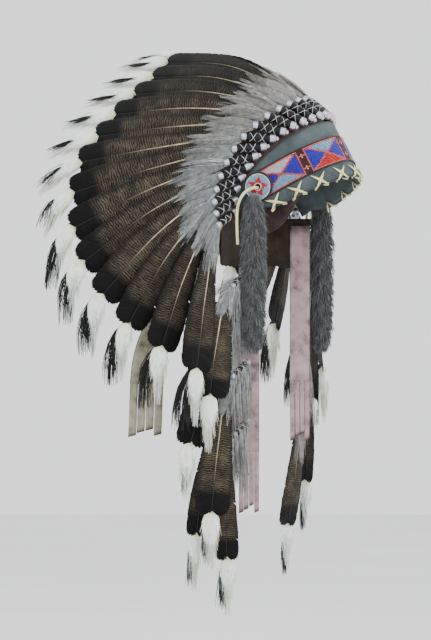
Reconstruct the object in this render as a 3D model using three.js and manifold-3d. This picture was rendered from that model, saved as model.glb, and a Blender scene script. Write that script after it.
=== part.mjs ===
// A feathered headdress: a felt cap and a suede brow band carry a fan of wrapped
// feathers, and a strap behind each ear carries a short trailer of the same feathers.
//
// Millimetres, +Z up. The wearer faces -Y, so the wearer's right side is at -X. The origin
// is the middle of the head opening, in the plane that the band and the cap are drawn from.

import * as THREE from "three";
import { mergeVertices } from "three/addons/utils/BufferGeometryUtils.js";
import Module from "manifold-3d";

// Head opening: an ellipse in a plane that is tilted up at the brow.
const RING_HALF_WIDTH = 85;
const RING_HALF_DEPTH = 107;
const RING_TILT = THREE.MathUtils.degToRad(29);

// Brow band. Its upper edge falls away from the brow to the ears.
const BAND_WALL = 3;
const BAND_HEIGHT = 65;
// Its lower edge hangs below the ring's plane, and comes up to it by the ears.
const BAND_LOW = 11;
const BAND_LOW_FADE = { start: 74, end: 91 };
const BAND_DROP = 36;
const BAND_DROP_POWER = 2.6;
const BAND_END = 98;
const BAND_STEPS = 34;

// Beaded strip and rosettes sewn on the band.
const STRIP_WALL = 1.7;
const STRIP_HEIGHT = 36;
const STRIP_LIFT = 28;
const STRIP_FALL = 6;
const STRIP_END = 80;
const ROSETTE_RADIUS = 19.5;
const ROSETTE_WALL = 3;
const ROSETTE_ANGLE = 81;
const ROSETTE_LIFT = 22;
const ROSETTE_AROUND = 24;

// Felt cap inside the band: a short straight wall under a dome.
const CAP_HALF_WIDTH = 81.4;
const CAP_HALF_DEPTH = 103.6;
const CAP_WALL = 2.4;
const CAP_EQUATOR = 40;
const CAP_TOP = 145;
const CAP_FRONT_RIM = 34;
const CAP_AROUND = 24;
// The rim drops from its front height to the ring's plane between these angles.
const CAP_RIM_FALL = { start: 75, end: 120 };
// Rows from the rim (-1) and the equator (0) to beside the crown (1).
const CAP_ROWS = [-1, 0, 0.2, 0.4, 0.6, 0.8, 0.96];

// Gap left between pieces that touch on the real thing.
const GAP = 0.4;

// Feathers on each side of the one at the middle of the brow.
const SIDE_FEATHERS = 13;
const SECTION_SIDES = 8;
// Each feather is rolled over the one above it, and the lowest ones more.
const SHINGLE_ROLL = 16;
const LOWEST_ROLL = 30;
const STEEPER_FROM = 10;
// Share of a feather's pitch at which its neighbours' spines are read.
const NEIGHBOUR_STEP = 0.25;
const MIDDLE_SPREAD = 0.8;

// The fan on the wearer's right, from the middle of the brow to below the ear: where each
// wrapped quill starts and ends, and the middle and tip of its feather.
const FAN_ROWS = [
  { inner: [0, -58, 117], outer: [0, -24, 140], middle: [0, 57, 186], tip: [0, 146, 194] },
  { inner: [-32, -52, 112], outer: [-43, -19, 132], middle: [-61, 64, 161], tip: [-68, 155, 162] },
  { inner: [-59, -36, 101], outer: [-79, -2, 113], middle: [-114, 82, 118], tip: [-135, 179, 109] },
  { inner: [-77, -15, 83], outer: [-101, 22, 82], middle: [-155, 100, 64], tip: [-191, 198, 40] },
  { inner: [-87, 5, 58], outer: [-112, 38, 45], middle: [-178, 101, 6], tip: [-220, 179, -53] },
  { inner: [-91, 22, 28], outer: [-119, 45, 8], middle: [-180, 79, -54], tip: [-219, 118, -138] },
  { inner: [-92, 27, -4], outer: [-124, 34, -23], middle: [-162, 32, -100], tip: [-189, 32, -199] },
];

// One feather from quill to tip: how far along it, and its width and thickness there.
const FEATHER_STATIONS = [
  { along: 0.0, width: 10, thick: 10 }, // start of the wrapped quill
  { along: 0.17, width: 10, thick: 10 }, // end of the wrapped quill
  { along: 0.2, width: 14, thick: 8 }, // grey plume
  { along: 0.31, width: 18, thick: 7.5 },
  { along: 0.43, width: 25, thick: 3.6 },
  { along: 0.55, width: 38, thick: 2 }, // vane
  { along: 0.76, width: 45, thick: 2 },
  { along: 0.93, width: 42, thick: 2 },
  { along: 1.0, width: 15, thick: 2 },
];

// The white fluff tied to the tip, along its own bent line.
const FLUFF_STATIONS = [
  { along: 0.12, width: 12, thick: 6 },
  { along: 0.42, width: 24, thick: 12 },
  { along: 0.78, width: 18, thick: 9 },
  { along: 1.0, width: 5, thick: 3 },
];
const FLUFF_LEAD = 14;
const FLUFF_HANG = 32;
// How far the fluffs hang: from trailing behind the top feathers to nearly straight down.
const FAN_HANG = { least: 0.15, most: 0.92, start: 4, end: 9 };
const TRAILER_HANG = 0.9;

// Dark horsehair lock that hangs beside the fluff of the lower feathers.
const LOCK_WIDTH = 6;
const LOCK_LENGTH = 78;
const FIRST_LOCK = 8;
const LOCK_ROOT = 0.985;
const LOCK_STATIONS = [
  { along: 0.0, size: 0.5 },
  { along: 0.3, size: 1.0 },
  { along: 0.8, size: 0.9 },
  { along: 1.0, size: 0.4 },
];
const FAN_LEAN = new THREE.Vector3(-6, 12, 0);
const TRAILER_LEAN = new THREE.Vector3(-2, 4, 0);

// Feathers of each trailer: where the quill starts, where the tip hangs, how wide it is.
const QUILL_OUT = new THREE.Vector3(-0.74, 0.25, -0.62).normalize();
const QUILL_LENGTH = 42;
const TRAILER_FACE = new THREE.Vector3(-0.9, -0.43, 0);
const TRAILER_BOW = 7;
const RIGHT_TRAILER = [
  { inner: [-84, 14, -80], tip: [-172, 22, -232], spread: 1.0 },
  { inner: [-84, 15, -125], tip: [-182, 44, -291], spread: 0.9 },
  { inner: [-84, 12, -190], tip: [-150, 30, -377], spread: 0.95 },
  { inner: [-84, 28, -235], tip: [-140, 56, -404], spread: 0.6 },
  { inner: [-84, 12, -264], tip: [-122, 22, -434], spread: 0.66 },
];
const LEFT_TRAILER = [
  { inner: [-84, 14, -80], tip: [-160, 36, -235], spread: 0.84 },
  { inner: [-84, 16, -128], tip: [-150, 47, -292], spread: 0.72 },
  { inner: [-84, 12, -178], tip: [-140, 34, -342], spread: 0.7 },
  { inner: [-84, 20, -225], tip: [-108, 44, -397], spread: 0.74 },
];

// Suede pieces behind the ears: the flap over the cap's side, the strap that carries the
// trailer and ends in a cut fringe, and the pale fringed drop inside the lower fan.
const SUEDE = 2;
const FLAP_FRONT = 2;
const FLAP_BACK = 58;
const FLAP_TOP = -10;
const FLAP_BOTTOM = -75;
const FLAP_ROWS = [FLAP_TOP, -22, -42];
const FLAP_STEPS = 6;
const FLAP_RISE = 6;
const STRAP_X = -77.6;
const STRAP_FRONT = -1;
const STRAP_WIDTH = 28;
const STRAP_TOP = -19;
const RIGHT_STRAP_LENGTH = 358;
const LEFT_STRAP_LENGTH = 270;
const STRAP_SLIT = 76;
const STRAP_STRIPS = 4;
// How much shorter some strips of a fringe are, and how far each is cut on a slant.
const FRINGE_STEP = 4;
const FRINGE_SLANT = 3;
const DROP_ROUTE = [
  [-62, 70, -50],
  [-96, 104, -110],
  [-119, 127, -176],
  [-122, 135, -282],
];
const DROP_TOP_WIDTH = 26;
const DROP_WIDTH = 42;
const DROP_STEPS = 7;
const DROP_STRIPS = 4;
const DROP_SLIT = 66;
const SLIT_WIDTH = 1.6;

// Grey fur drops in front of the ears, and the thong that hangs from each rosette.
const FUR_TOP = 18;
const FUR_LENGTH = 197;
const FUR_X = -101.5;
const FUR_Y = -5;
const FUR_STATIONS = [
  { along: 0.0, width: 9, thick: 6 },
  { along: 0.05, width: 21, thick: 13 },
  { along: 0.16, width: 30, thick: 17 },
  { along: 0.4, width: 33, thick: 18 },
  { along: 0.66, width: 31, thick: 18 },
  { along: 0.88, width: 29, thick: 15 },
  { along: 0.97, width: 21, thick: 10 },
  { along: 1.0, width: 9, thick: 5 },
];
const THONG_DIAMETER = 3.6;
const THONG_STEPS = 15;
const THONG_ROUTE = [
  [-92.0, -5.9, 26.2],
  [-94.6, -5.3, 26.6],
  [-97.4, -3.9, 26.5],
  [-100.0, -1.5, 25.6],
  [-102.2, 1.9, 23.8],
  [-103.8, 5.7, 20.8],
  [-104.8, 9.3, 16.4],
  [-105.2, 12.3, 11.0],
  [-105.3, 14.4, 5.0],
  [-105.2, 15.7, -1.4],
  [-104.9, 16.3, -8.0],
  [-104.6, 16.5, -14.8],
  [-104.3, 16.5, -21.8],
  [-104.1, 16.3, -29.0],
  [-104.0, 16.0, -36.4],
  [-104.0, 15.7, -44.0],
];

const AXIS_X = new THREE.Vector3(1, 0, 0);
const AXIS_Y = new THREE.Vector3(0, 1, 0);
const AXIS_Z = new THREE.Vector3(0, 0, 1);

const wasm = await Module();
wasm.setup();

const group = new THREE.Group();
group.name = "feathered_headdress";

const finish = (color, roughness) =>
  new THREE.MeshStandardMaterial({ color, roughness, metalness: 0 });

const felt = finish(0x6b5654, 0.95);
const slateSuede = finish(0x556262, 0.9);
const beadwork = finish(0x2a3fc0, 0.35);
const rosetteBeads = finish(0x96cdeb, 0.35);
const turkeyFeather = finish(0x46392c, 0.7);
const greyFur = finish(0x55585a, 0.95);
const brownSuede = finish(0x3c3026, 0.9);
const mauveSuede = finish(0xa58c91, 0.9);
const taupeSuede = finish(0x9a947e, 0.9);
const creamHide = finish(0xe6e2b4, 0.8);

/** Adds one named piece to the headdress. */
function addPiece(name, geometry, material) {
  const mesh = new THREE.Mesh(geometry, material);
  mesh.name = name;
  group.add(mesh);
}

/** The same shape on the wearer's other side, with its faces still pointing out. */
function mirrored(geometry) {
  const other = geometry.clone().applyMatrix4(new THREE.Matrix4().makeScale(-1, 1, 1));
  const index = other.index.array;
  for (let i = 0; i < index.length; i += 3) {
    [index[i + 1], index[i + 2]] = [index[i + 2], index[i + 1]];
  }
  return other;
}

/** A closed skin through rings of points, each counter-clockwise seen from the last ring. */
function loft(rings) {
  const count = rings[0].length;
  const positions = rings.flat().flatMap((point) => point.toArray());
  const index = [];
  for (let r = 0; r + 1 < rings.length; r += 1) {
    for (let i = 0; i < count; i += 1) {
      const a = r * count + i;
      const b = r * count + ((i + 1) % count);
      index.push(a, b, b + count, a, b + count, a + count);
    }
  }
  const last = (rings.length - 1) * count;
  for (let i = 1; i + 1 < count; i += 1) {
    index.push(0, i + 1, i);
    index.push(last, last + i, last + i + 1);
  }
  const geometry = new THREE.BufferGeometry();
  geometry.setAttribute("position", new THREE.Float32BufferAttribute(positions, 3));
  geometry.setIndex(index);
  return geometry;
}

/** Keeps only merged positions, as the solid library needs them. */
function bare(geometry) {
  const copy = geometry.clone();
  copy.deleteAttribute("normal");
  copy.deleteAttribute("uv");
  return mergeVertices(copy, 1e-3);
}

function toSolid(geometry) {
  const plain = bare(geometry);
  return new wasm.Manifold(
    new wasm.Mesh({
      numProp: 3,
      vertProperties: new Float32Array(plain.attributes.position.array),
      triVerts: new Uint32Array(plain.index.array),
    }),
  );
}

function fromSolid(solid) {
  const mesh = solid.getMesh();
  const geometry = new THREE.BufferGeometry();
  geometry.setAttribute("position", new THREE.Float32BufferAttribute(mesh.vertProperties, 3));
  geometry.setIndex([...mesh.triVerts]);
  return geometry;
}

/** One body made of two that cross each other. */
function fused(first, second) {
  return fromSolid(toSolid(first).add(toSolid(second)));
}

/** A point of the head ring: degrees round from the brow, height above it, and scale. */
function ringPoint(degrees, lift, outwards = 0) {
  const angle = THREE.MathUtils.degToRad(degrees);
  const forward = (RING_HALF_DEPTH + outwards) * Math.cos(angle);
  return bandFrame(-(RING_HALF_WIDTH + outwards) * Math.sin(angle), forward, lift);
}

/** From the tilted frame of the ring (side, forward, up) to the frame of the part. */
function bandFrame(side, forward, up) {
  return new THREE.Vector3(
    side,
    -forward * Math.cos(RING_TILT) + up * Math.sin(RING_TILT),
    forward * Math.sin(RING_TILT) + up * Math.cos(RING_TILT),
  );
}

/** The band's upper edge at an angle from the brow. */
function bandTop(degrees) {
  return BAND_HEIGHT - BAND_DROP * (Math.abs(degrees) / BAND_END) ** BAND_DROP_POWER;
}

/** A strip round the ring between two heights, with a wall that grows outwards. */
function wrappedStrip(end, steps, lowEdge, highEdge, inside, wall) {
  const rings = [];
  for (let i = 0; i <= steps; i += 1) {
    const degrees = -end + (2 * end * i) / steps;
    const low = lowEdge(degrees);
    const high = highEdge(degrees);
    rings.push([
      ringPoint(degrees, low, inside),
      ringPoint(degrees, low, inside + wall),
      ringPoint(degrees, high, inside + wall),
      ringPoint(degrees, high, inside),
    ]);
  }
  return loft(rings);
}

/** The band's lower edge at an angle from the brow. */
function bandLow(degrees) {
  const away = Math.abs(degrees);
  return BAND_LOW * (THREE.MathUtils.smoothstep(away, BAND_LOW_FADE.start, BAND_LOW_FADE.end) - 1);
}

function browBand() {
  return wrappedStrip(BAND_END, BAND_STEPS, bandLow, bandTop, -BAND_WALL, BAND_WALL);
}

function beadStrip() {
  const middle = (degrees) => STRIP_LIFT - STRIP_FALL * (Math.abs(degrees) / STRIP_END);
  const low = (degrees) => middle(degrees) - STRIP_HEIGHT / 2;
  const high = (degrees) => middle(degrees) + STRIP_HEIGHT / 2;
  return wrappedStrip(STRIP_END, BAND_STEPS, low, high, GAP, STRIP_WALL);
}

/** A disc that lies on the strip, facing away from the head. */
function rosette() {
  const centre = ringPoint(ROSETTE_ANGLE, ROSETTE_LIFT, 2 * GAP + STRIP_WALL);
  const ahead = ringPoint(ROSETTE_ANGLE - 1, ROSETTE_LIFT);
  const behind = ringPoint(ROSETTE_ANGLE + 1, ROSETTE_LIFT);
  const along = ahead.sub(behind).normalize();
  const outward = new THREE.Vector3().crossVectors(bandFrame(0, 0, 1), along).negate();
  const disc = new THREE.CylinderGeometry(
    ROSETTE_RADIUS,
    ROSETTE_RADIUS,
    ROSETTE_WALL,
    ROSETTE_AROUND,
  );
  disc.translate(0, ROSETTE_WALL / 2, 0);
  const basis = new THREE.Matrix4().makeBasis(
    along,
    outward,
    new THREE.Vector3().crossVectors(along, outward),
  );
  return bare(disc.applyMatrix4(basis.setPosition(centre)));
}

/** The cap's rim: high behind the band, down to the ring's plane at the nape. */
function capRim(degrees) {
  const back = THREE.MathUtils.smoothstep(Math.abs(degrees), CAP_RIM_FALL.start, CAP_RIM_FALL.end);
  return CAP_FRONT_RIM * (1 - back);
}

function capRing(inset, heightShare) {
  const ring = [];
  for (let i = 0; i < CAP_AROUND; i += 1) {
    const degrees = 180 - (360 * i) / CAP_AROUND;
    const angle = THREE.MathUtils.degToRad(degrees);
    const rise = Math.max(heightShare, 0) * (Math.PI / 2);
    const shrink = Math.cos(rise);
    const top = CAP_TOP - inset - CAP_EQUATOR;
    const up = heightShare < 0 ? capRim(degrees) : CAP_EQUATOR + top * Math.sin(rise);
    const side = -(CAP_HALF_WIDTH - inset) * shrink * Math.sin(angle);
    const forward = (CAP_HALF_DEPTH - inset) * shrink * Math.cos(angle);
    ring.push(bandFrame(side, forward, up));
  }
  return ring;
}

/** A dome with one skin outside and one inside, joined at the rim. */
function skullCap() {
  const outside = CAP_ROWS.map((share) => capRing(0, share));
  const inside = CAP_ROWS.map((share) => capRing(CAP_WALL, share)).reverse();
  return loft([...inside, ...outside]);
}

/** An eight-sided ellipse round a point of a spine. */
function section(centre, across, through, width, thick) {
  const ring = [];
  for (let i = 0; i < SECTION_SIDES; i += 1) {
    const angle = (2 * Math.PI * (i + 0.5)) / SECTION_SIDES;
    ring.push(
      centre
        .clone()
        .addScaledVector(across, (width / 2) * Math.cos(angle))
        .addScaledVector(through, (thick / 2) * Math.sin(angle)),
    );
  }
  return ring;
}

/** Axes of a section: across the feather, and through it, both square to its tangent. */
function sectionAxes(tangent, sideways, roll) {
  const through = new THREE.Vector3().crossVectors(tangent, sideways).normalize();
  const across = new THREE.Vector3().crossVectors(through, tangent).normalize();
  return {
    across: across.clone().multiplyScalar(Math.cos(roll)).addScaledVector(through, -Math.sin(roll)),
    through: through.clone().multiplyScalar(Math.cos(roll)).addScaledVector(across, Math.sin(roll)),
  };
}

/**
 * A feather with its wrapped quill, plume, vane and fluff, as one body.
 * @param spine curve from the quill's start to the vane's tip
 * @param sideways function of the share along the spine, giving a direction across the vane
 * @param options how far it is rolled, how wide it is spread and how far its fluff hangs down
 */
function feather(spine, sideways, { roll = 0, spread = 1, hang = 1 } = {}) {
  const rings = FEATHER_STATIONS.map(({ along, width, thick }) => {
    const { across, through } = sectionAxes(spine.getTangentAt(along), sideways(along), roll);
    const wide = along > 0.2 ? width * spread : width;
    return section(spine.getPointAt(along), across, through, wide, thick);
  });
  const tail = fluffLine(spine, hang);
  for (const { along, width, thick } of FLUFF_STATIONS) {
    const { across, through } = sectionAxes(tail.getTangentAt(along), sideways(1), roll);
    rings.push(section(tail.getPointAt(along), across, through, width, thick));
  }
  return loft(rings);
}

/** The line of a tip fluff: on from the vane, then down by its share of hang. */
function fluffLine(spine, hang) {
  const tip = spine.getPointAt(1);
  const onward = spine.getTangentAt(1);
  const knee = tip.clone().addScaledVector(onward, FLUFF_LEAD);
  const fall = onward.clone().lerp(new THREE.Vector3(0, 0, -1), hang).normalize();
  const end = knee.clone().addScaledVector(fall, FLUFF_HANG);
  return new THREE.QuadraticBezierCurve3(tip, knee, end);
}

/** A tapered lock of hair that starts inside the end of the vane and hangs straight. */
function hairLock(spine, lean) {
  const start = spine.getPointAt(LOCK_ROOT);
  const end = start.clone().add(new THREE.Vector3(lean.x, lean.y, -LOCK_LENGTH));
  const tangent = end.clone().sub(start).normalize();
  const { across, through } = sectionAxes(tangent, AXIS_Y, 0);
  return loft(
    LOCK_STATIONS.map(({ along, size }) => {
      const centre = start.clone().lerp(end, along);
      return [1, 0, -1, 0].map((a, i) =>
        centre
          .clone()
          .addScaledVector(across, (a * size * LOCK_WIDTH) / 2)
          .addScaledVector(through, ([0, 1, 0, -1][i] * size * LOCK_WIDTH) / 3),
      );
    }),
  );
}

/** One column of the fan's rows as a smooth line, with the first row mirrored before it. */
function fanLine(column) {
  const points = FAN_ROWS.map((row) => new THREE.Vector3(...row[column]));
  const before = points[1].clone().multiply(new THREE.Vector3(-1, 1, 1));
  const line = new THREE.CatmullRomCurve3([before, ...points], false, "catmullrom", 0.5);
  return (share) => line.getPoint((1 + share * (points.length - 1)) / points.length);
}

const fanColumns = ["inner", "outer", "middle", "tip"].map(fanLine);

/** The spine of the feather at a share of the way from the brow to below the ear. */
function fanSpine(share) {
  return new THREE.CatmullRomCurve3(fanColumns.map((column) => column(share)), false, "centripetal");
}

/** A fan feather. Each lies a little over the one before it, as shingles do. */
function fanFeather(number) {
  const share = number / SIDE_FEATHERS;
  const step = NEIGHBOUR_STEP / SIDE_FEATHERS;
  const spine = fanSpine(share);
  const before = fanSpine(share - step);
  const after = fanSpine(Math.min(share + step, 1));
  const sideways = (along) => after.getPointAt(along).sub(before.getPointAt(along));
  const steeper = THREE.MathUtils.smoothstep(number, STEEPER_FROM, SIDE_FEATHERS);
  const degrees = number === 0 ? 0 : THREE.MathUtils.lerp(SHINGLE_ROLL, LOWEST_ROLL, steeper);
  const roll = THREE.MathUtils.degToRad(degrees);
  const lower = THREE.MathUtils.smoothstep(number, FAN_HANG.start, FAN_HANG.end);
  const hang = THREE.MathUtils.lerp(FAN_HANG.least, FAN_HANG.most, lower);
  const spread = number === 0 ? MIDDLE_SPREAD : 1;
  const shape = feather(spine, sideways, { roll, spread, hang });
  if (number < FIRST_LOCK) return shape;
  return fused(shape, hairLock(spine, FAN_LEAN));
}

/** A trailer feather, bowed away from the strap. */
function trailerFeather({ inner, tip, spread }) {
  const start = new THREE.Vector3(...inner);
  const end = new THREE.Vector3(...tip);
  const quillEnd = start.clone().addScaledVector(QUILL_OUT, QUILL_LENGTH);
  const middle = quillEnd.clone().lerp(end, 0.5).add(new THREE.Vector3(-TRAILER_BOW, 0, 0));
  const spine = new THREE.CatmullRomCurve3([start, quillEnd, middle, end], false, "centripetal");
  const sideways = (along) =>
    new THREE.Vector3().crossVectors(TRAILER_FACE, spine.getTangentAt(along));
  const shape = feather(spine, sideways, { spread, hang: TRAILER_HANG });
  return fused(shape, hairLock(spine, TRAILER_LEAN));
}

/** A flat plate hanging from its top edge, whose lower end is cut into strips. */
function fringedPlate(width, length, slit, strips) {
  const pitch = width / strips;
  const outline = new THREE.Shape();
  outline.moveTo(-width / 2, 0);
  for (let i = 0; i < strips; i += 1) {
    const left = -width / 2 + i * pitch + (i > 0 ? SLIT_WIDTH / 2 : 0);
    const right = -width / 2 + (i + 1) * pitch - (i + 1 < strips ? SLIT_WIDTH / 2 : 0);
    const ragged = FRINGE_STEP * ((i * 2) % 3);
    if (i > 0) outline.lineTo(left, -length + slit);
    outline.lineTo(left, -length + ragged);
    outline.lineTo(right, -length + ragged + FRINGE_SLANT);
    if (i + 1 < strips) outline.lineTo(right, -length + slit);
  }
  outline.lineTo(width / 2, 0);
  outline.closePath();
  return new THREE.ExtrudeGeometry(outline, { depth: SUEDE, bevelEnabled: false });
}

function trailerStrap(length) {
  const plate = fringedPlate(STRAP_WIDTH, length, STRAP_SLIT, STRAP_STRIPS);
  const basis = new THREE.Matrix4().makeBasis(AXIS_Y, AXIS_Z, AXIS_X);
  basis.setPosition(STRAP_X, STRAP_FRONT + STRAP_WIDTH / 2, STRAP_TOP);
  return bare(plate.applyMatrix4(basis));
}

/** The pale drop bends out along the inside of the lower fan, then hangs straight. */
function backDrop() {
  const spine = new THREE.CatmullRomCurve3(DROP_ROUTE.map((point) => new THREE.Vector3(...point)));
  const across = new THREE.Vector3().crossVectors(TRAILER_FACE, AXIS_Z).normalize();
  const rings = [];
  for (let i = 0; i <= DROP_STEPS; i += 1) {
    const along = i / DROP_STEPS;
    const centre = spine.getPointAt(along);
    const through = new THREE.Vector3().crossVectors(spine.getTangentAt(along), across).normalize();
    const half = THREE.MathUtils.lerp(DROP_TOP_WIDTH, DROP_WIDTH, Math.min(2 * along, 1)) / 2;
    rings.push(
      [[-1, -1], [1, -1], [1, 1], [-1, 1]].map(([a, b]) =>
        centre.clone().addScaledVector(across, a * half).addScaledVector(through, (b * SUEDE) / 2),
      ),
    );
  }
  let drop = toSolid(loft(rings));
  const end = spine.getPointAt(1);
  const turn = new THREE.Matrix4().makeBasis(
    across,
    new THREE.Vector3().crossVectors(AXIS_Z, across),
    AXIS_Z,
  );
  for (let i = 1; i < DROP_STRIPS; i += 1) {
    const slit = new THREE.BoxGeometry(SLIT_WIDTH, 8 * SUEDE, 2 * DROP_SLIT);
    slit.translate(DROP_WIDTH * (i / DROP_STRIPS - 0.5), 0, 0);
    drop = drop.subtract(toSolid(slit.applyMatrix4(turn.setPosition(end))));
  }
  return fromSolid(drop);
}

/** Half the cap's outer width at a depth and a height, held below its rim. */
function capHalfWidth(depth, height) {
  const rim = -depth * Math.tan(RING_TILT);
  const level = Math.max(height, rim);
  const forward = -depth * Math.cos(RING_TILT) + level * Math.sin(RING_TILT);
  return CAP_HALF_WIDTH * Math.sqrt(1 - (forward / CAP_HALF_DEPTH) ** 2);
}

/** The flap follows the side of the cap and hangs straight below its rim. */
function earFlap() {
  const rings = [];
  for (let i = 0; i <= FLAP_STEPS; i += 1) {
    const share = i / FLAP_STEPS;
    const depth = THREE.MathUtils.lerp(FLAP_FRONT, FLAP_BACK, share);
    const heights = [...FLAP_ROWS, FLAP_BOTTOM + FLAP_RISE * share];
    const inner = heights.map((z) => new THREE.Vector3(-capHalfWidth(depth, z) - GAP, depth, z));
    const outer = inner.map((point) => point.clone().add(new THREE.Vector3(-SUEDE, 0, 0)));
    rings.push([...inner, ...outer.reverse()]);
  }
  return loft(rings);
}

/** A drop of deep fur with a flattened round section. */
function furDrop() {
  return loft(
    FUR_STATIONS.map(({ along, width, thick }) =>
      section(
        new THREE.Vector3(FUR_X, FUR_Y, FUR_TOP - FUR_LENGTH * along),
        AXIS_Y,
        AXIS_X,
        width,
        thick,
      ),
    ),
  );
}

function thong() {
  const route = new THREE.CatmullRomCurve3(THONG_ROUTE.map((point) => new THREE.Vector3(...point)));
  const outline = new THREE.Shape();
  outline.absarc(0, 0, THONG_DIAMETER / 2, 0, 2 * Math.PI);
  return bare(
    new THREE.ExtrudeGeometry(outline, {
      extrudePath: route,
      steps: THONG_STEPS,
      curveSegments: 4,
      bevelEnabled: false,
    }),
  );
}

addPiece("skull_cap", skullCap(), felt);
addPiece("brow_band", browBand(), slateSuede);
addPiece("bead_strip", beadStrip(), beadwork);

const pairs = [
  { name: "rosette", shape: rosette(), material: rosetteBeads },
  { name: "fur_drop", shape: furDrop(), material: greyFur },
  { name: "thong", shape: thong(), material: creamHide },
  { name: "ear_flap", shape: earFlap(), material: brownSuede },
  { name: "back_drop", shape: backDrop(), material: taupeSuede },
];
for (const { name, shape, material } of pairs) {
  addPiece(`${name}_right`, shape, material);
  addPiece(`${name}_left`, mirrored(shape), material);
}

addPiece("trailer_strap_right", trailerStrap(RIGHT_STRAP_LENGTH), mauveSuede);
addPiece("trailer_strap_left", mirrored(trailerStrap(LEFT_STRAP_LENGTH)), mauveSuede);

addPiece("fan_feather_middle", fanFeather(0), turkeyFeather);
for (let number = 1; number <= SIDE_FEATHERS; number += 1) {
  const label = String(number).padStart(2, "0");
  const shape = fanFeather(number);
  addPiece(`fan_feather_right_${label}`, shape, turkeyFeather);
  addPiece(`fan_feather_left_${label}`, mirrored(shape), turkeyFeather);
}

RIGHT_TRAILER.forEach((row, i) => {
  addPiece(`trailer_feather_right_${i + 1}`, trailerFeather(row), turkeyFeather);
});
LEFT_TRAILER.forEach((row, i) => {
  addPiece(`trailer_feather_left_${i + 1}`, mirrored(trailerFeather(row)), turkeyFeather);
});

export default group;
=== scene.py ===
"""Dresses the feathered headdress: feathers, beads, fur, suede, lacing and felt."""

import logging
from collections.abc import Callable
from dataclasses import dataclass, field, fields, replace
from enum import Enum, IntEnum

import bpy
import numpy as np
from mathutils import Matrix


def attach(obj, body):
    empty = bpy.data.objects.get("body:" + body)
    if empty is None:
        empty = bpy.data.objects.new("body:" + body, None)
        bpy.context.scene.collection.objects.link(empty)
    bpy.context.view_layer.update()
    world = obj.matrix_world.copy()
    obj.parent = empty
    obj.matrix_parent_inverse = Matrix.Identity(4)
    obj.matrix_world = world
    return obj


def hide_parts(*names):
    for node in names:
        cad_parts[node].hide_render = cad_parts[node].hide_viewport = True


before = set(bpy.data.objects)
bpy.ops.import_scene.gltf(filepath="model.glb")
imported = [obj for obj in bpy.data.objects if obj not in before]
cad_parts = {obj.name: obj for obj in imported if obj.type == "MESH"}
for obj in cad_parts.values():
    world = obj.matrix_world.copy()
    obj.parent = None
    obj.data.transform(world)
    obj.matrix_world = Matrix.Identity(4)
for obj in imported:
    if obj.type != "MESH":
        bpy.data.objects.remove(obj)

LOG = logging.getLogger("headdress")
Array = np.ndarray
Socket = bpy.types.NodeSocket
Material = bpy.types.Material
Placer = Callable[[Array, Array, Array], Array]
MM = 0.001
DOWN = np.array([0.0, 0.0, -1.0])
MIRROR = np.array([-1.0, 1.0, 1.0])

# The head opening and the cap in it, as in the part's source, in millimetres.
RING_HALF_WIDTH = 85.0
RING_HALF_DEPTH = 107.0
RING_TILT = np.radians(29.0)
CAP_HALF_WIDTH = 81.4
CAP_HALF_DEPTH = 103.6

# The fan on the wearer's right, from the middle of the brow to below the ear.
FAN_INNER = [[0, -58, 117], [-32, -52, 112], [-59, -36, 101], [-77, -15, 83],
             [-87, 5, 58], [-91, 22, 28], [-92, 27, -4]]
FAN_OUTER = [[0, -24, 140], [-43, -19, 132], [-79, -2, 113], [-101, 22, 82],
             [-112, 38, 45], [-119, 45, 8], [-124, 34, -23]]
FAN_MIDDLE = [[0, 57, 186], [-61, 64, 161], [-114, 82, 118], [-155, 100, 64],
              [-178, 101, 6], [-180, 79, -54], [-162, 32, -100]]
FAN_TIP = [[0, 146, 194], [-68, 155, 162], [-135, 179, 109], [-191, 198, 40],
           [-220, 179, -53], [-219, 118, -138], [-189, 32, -199]]
SIDE_FEATHERS = 13
NEIGHBOUR_STEP = 0.25
MIDDLE_SPREAD = 0.8
# Least value and rise of the shingle roll, in degrees, and of how far the fluffs hang.
FAN_ROLL = (16, 14)
FAN_HANG = (0.15, 0.77)
# Horsehair of the lower feathers and of the upper ones: strands, length, and its growth.
FIRST_LOCK = 8
LONG_LOCK = (90, 80.0)
SHORT_LOCK = (44, 33.0, 2.5)
HIGH_PLUME, LOW_PLUME = np.array([170, 168, 161]), np.array([161, 166, 165])

# Trailer feathers: where the quill starts, where the tip hangs, how wide it is.
RIGHT_TRAILER = [([-84, 14, -80], [-172, 22, -232], 1.0),
                 ([-84, 15, -125], [-182, 44, -291], 0.9),
                 ([-84, 12, -190], [-150, 30, -377], 0.95),
                 ([-84, 28, -235], [-140, 56, -404], 0.6),
                 ([-84, 12, -264], [-122, 22, -434], 0.66)]
LEFT_TRAILER = [([-84, 14, -80], [-160, 36, -235], 0.84),
                ([-84, 16, -128], [-150, 47, -292], 0.72),
                ([-84, 12, -178], [-140, 34, -342], 0.7),
                ([-84, 20, -225], [-108, 44, -397], 0.74)]
QUILL_OUT = np.array([-0.74, 0.25, -0.62]) / np.linalg.norm([-0.74, 0.25, -0.62])
QUILL_LENGTH = 42.0
TRAILER_FACE = np.array([-0.9, -0.43, 0.0])
TRAILER_BOW = 7.0


class Side(Enum):
    """Which side of the wearer a piece is on."""

    RIGHT = "right"
    LEFT = "left"

    @property
    def flip(self) -> bool:
        """True where the shape is the mirror image of the wearer's right."""
        return self is Side.LEFT


# ---------------------------------------------------------------- points and lines


def unit(vectors: Array) -> Array:
    """Vectors divided by their lengths."""
    return vectors / np.maximum(np.linalg.norm(vectors, axis=-1, keepdims=True), 1e-9)


def smoothstep(value: Array, low: float, high: float) -> Array:
    """0 below low, 1 above high, and 3t^2 - 2t^3 between them."""
    t = np.clip((np.asarray(value, float) - low) / (high - low), 0.0, 1.0)
    return t * t * (3.0 - 2.0 * t)


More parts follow.
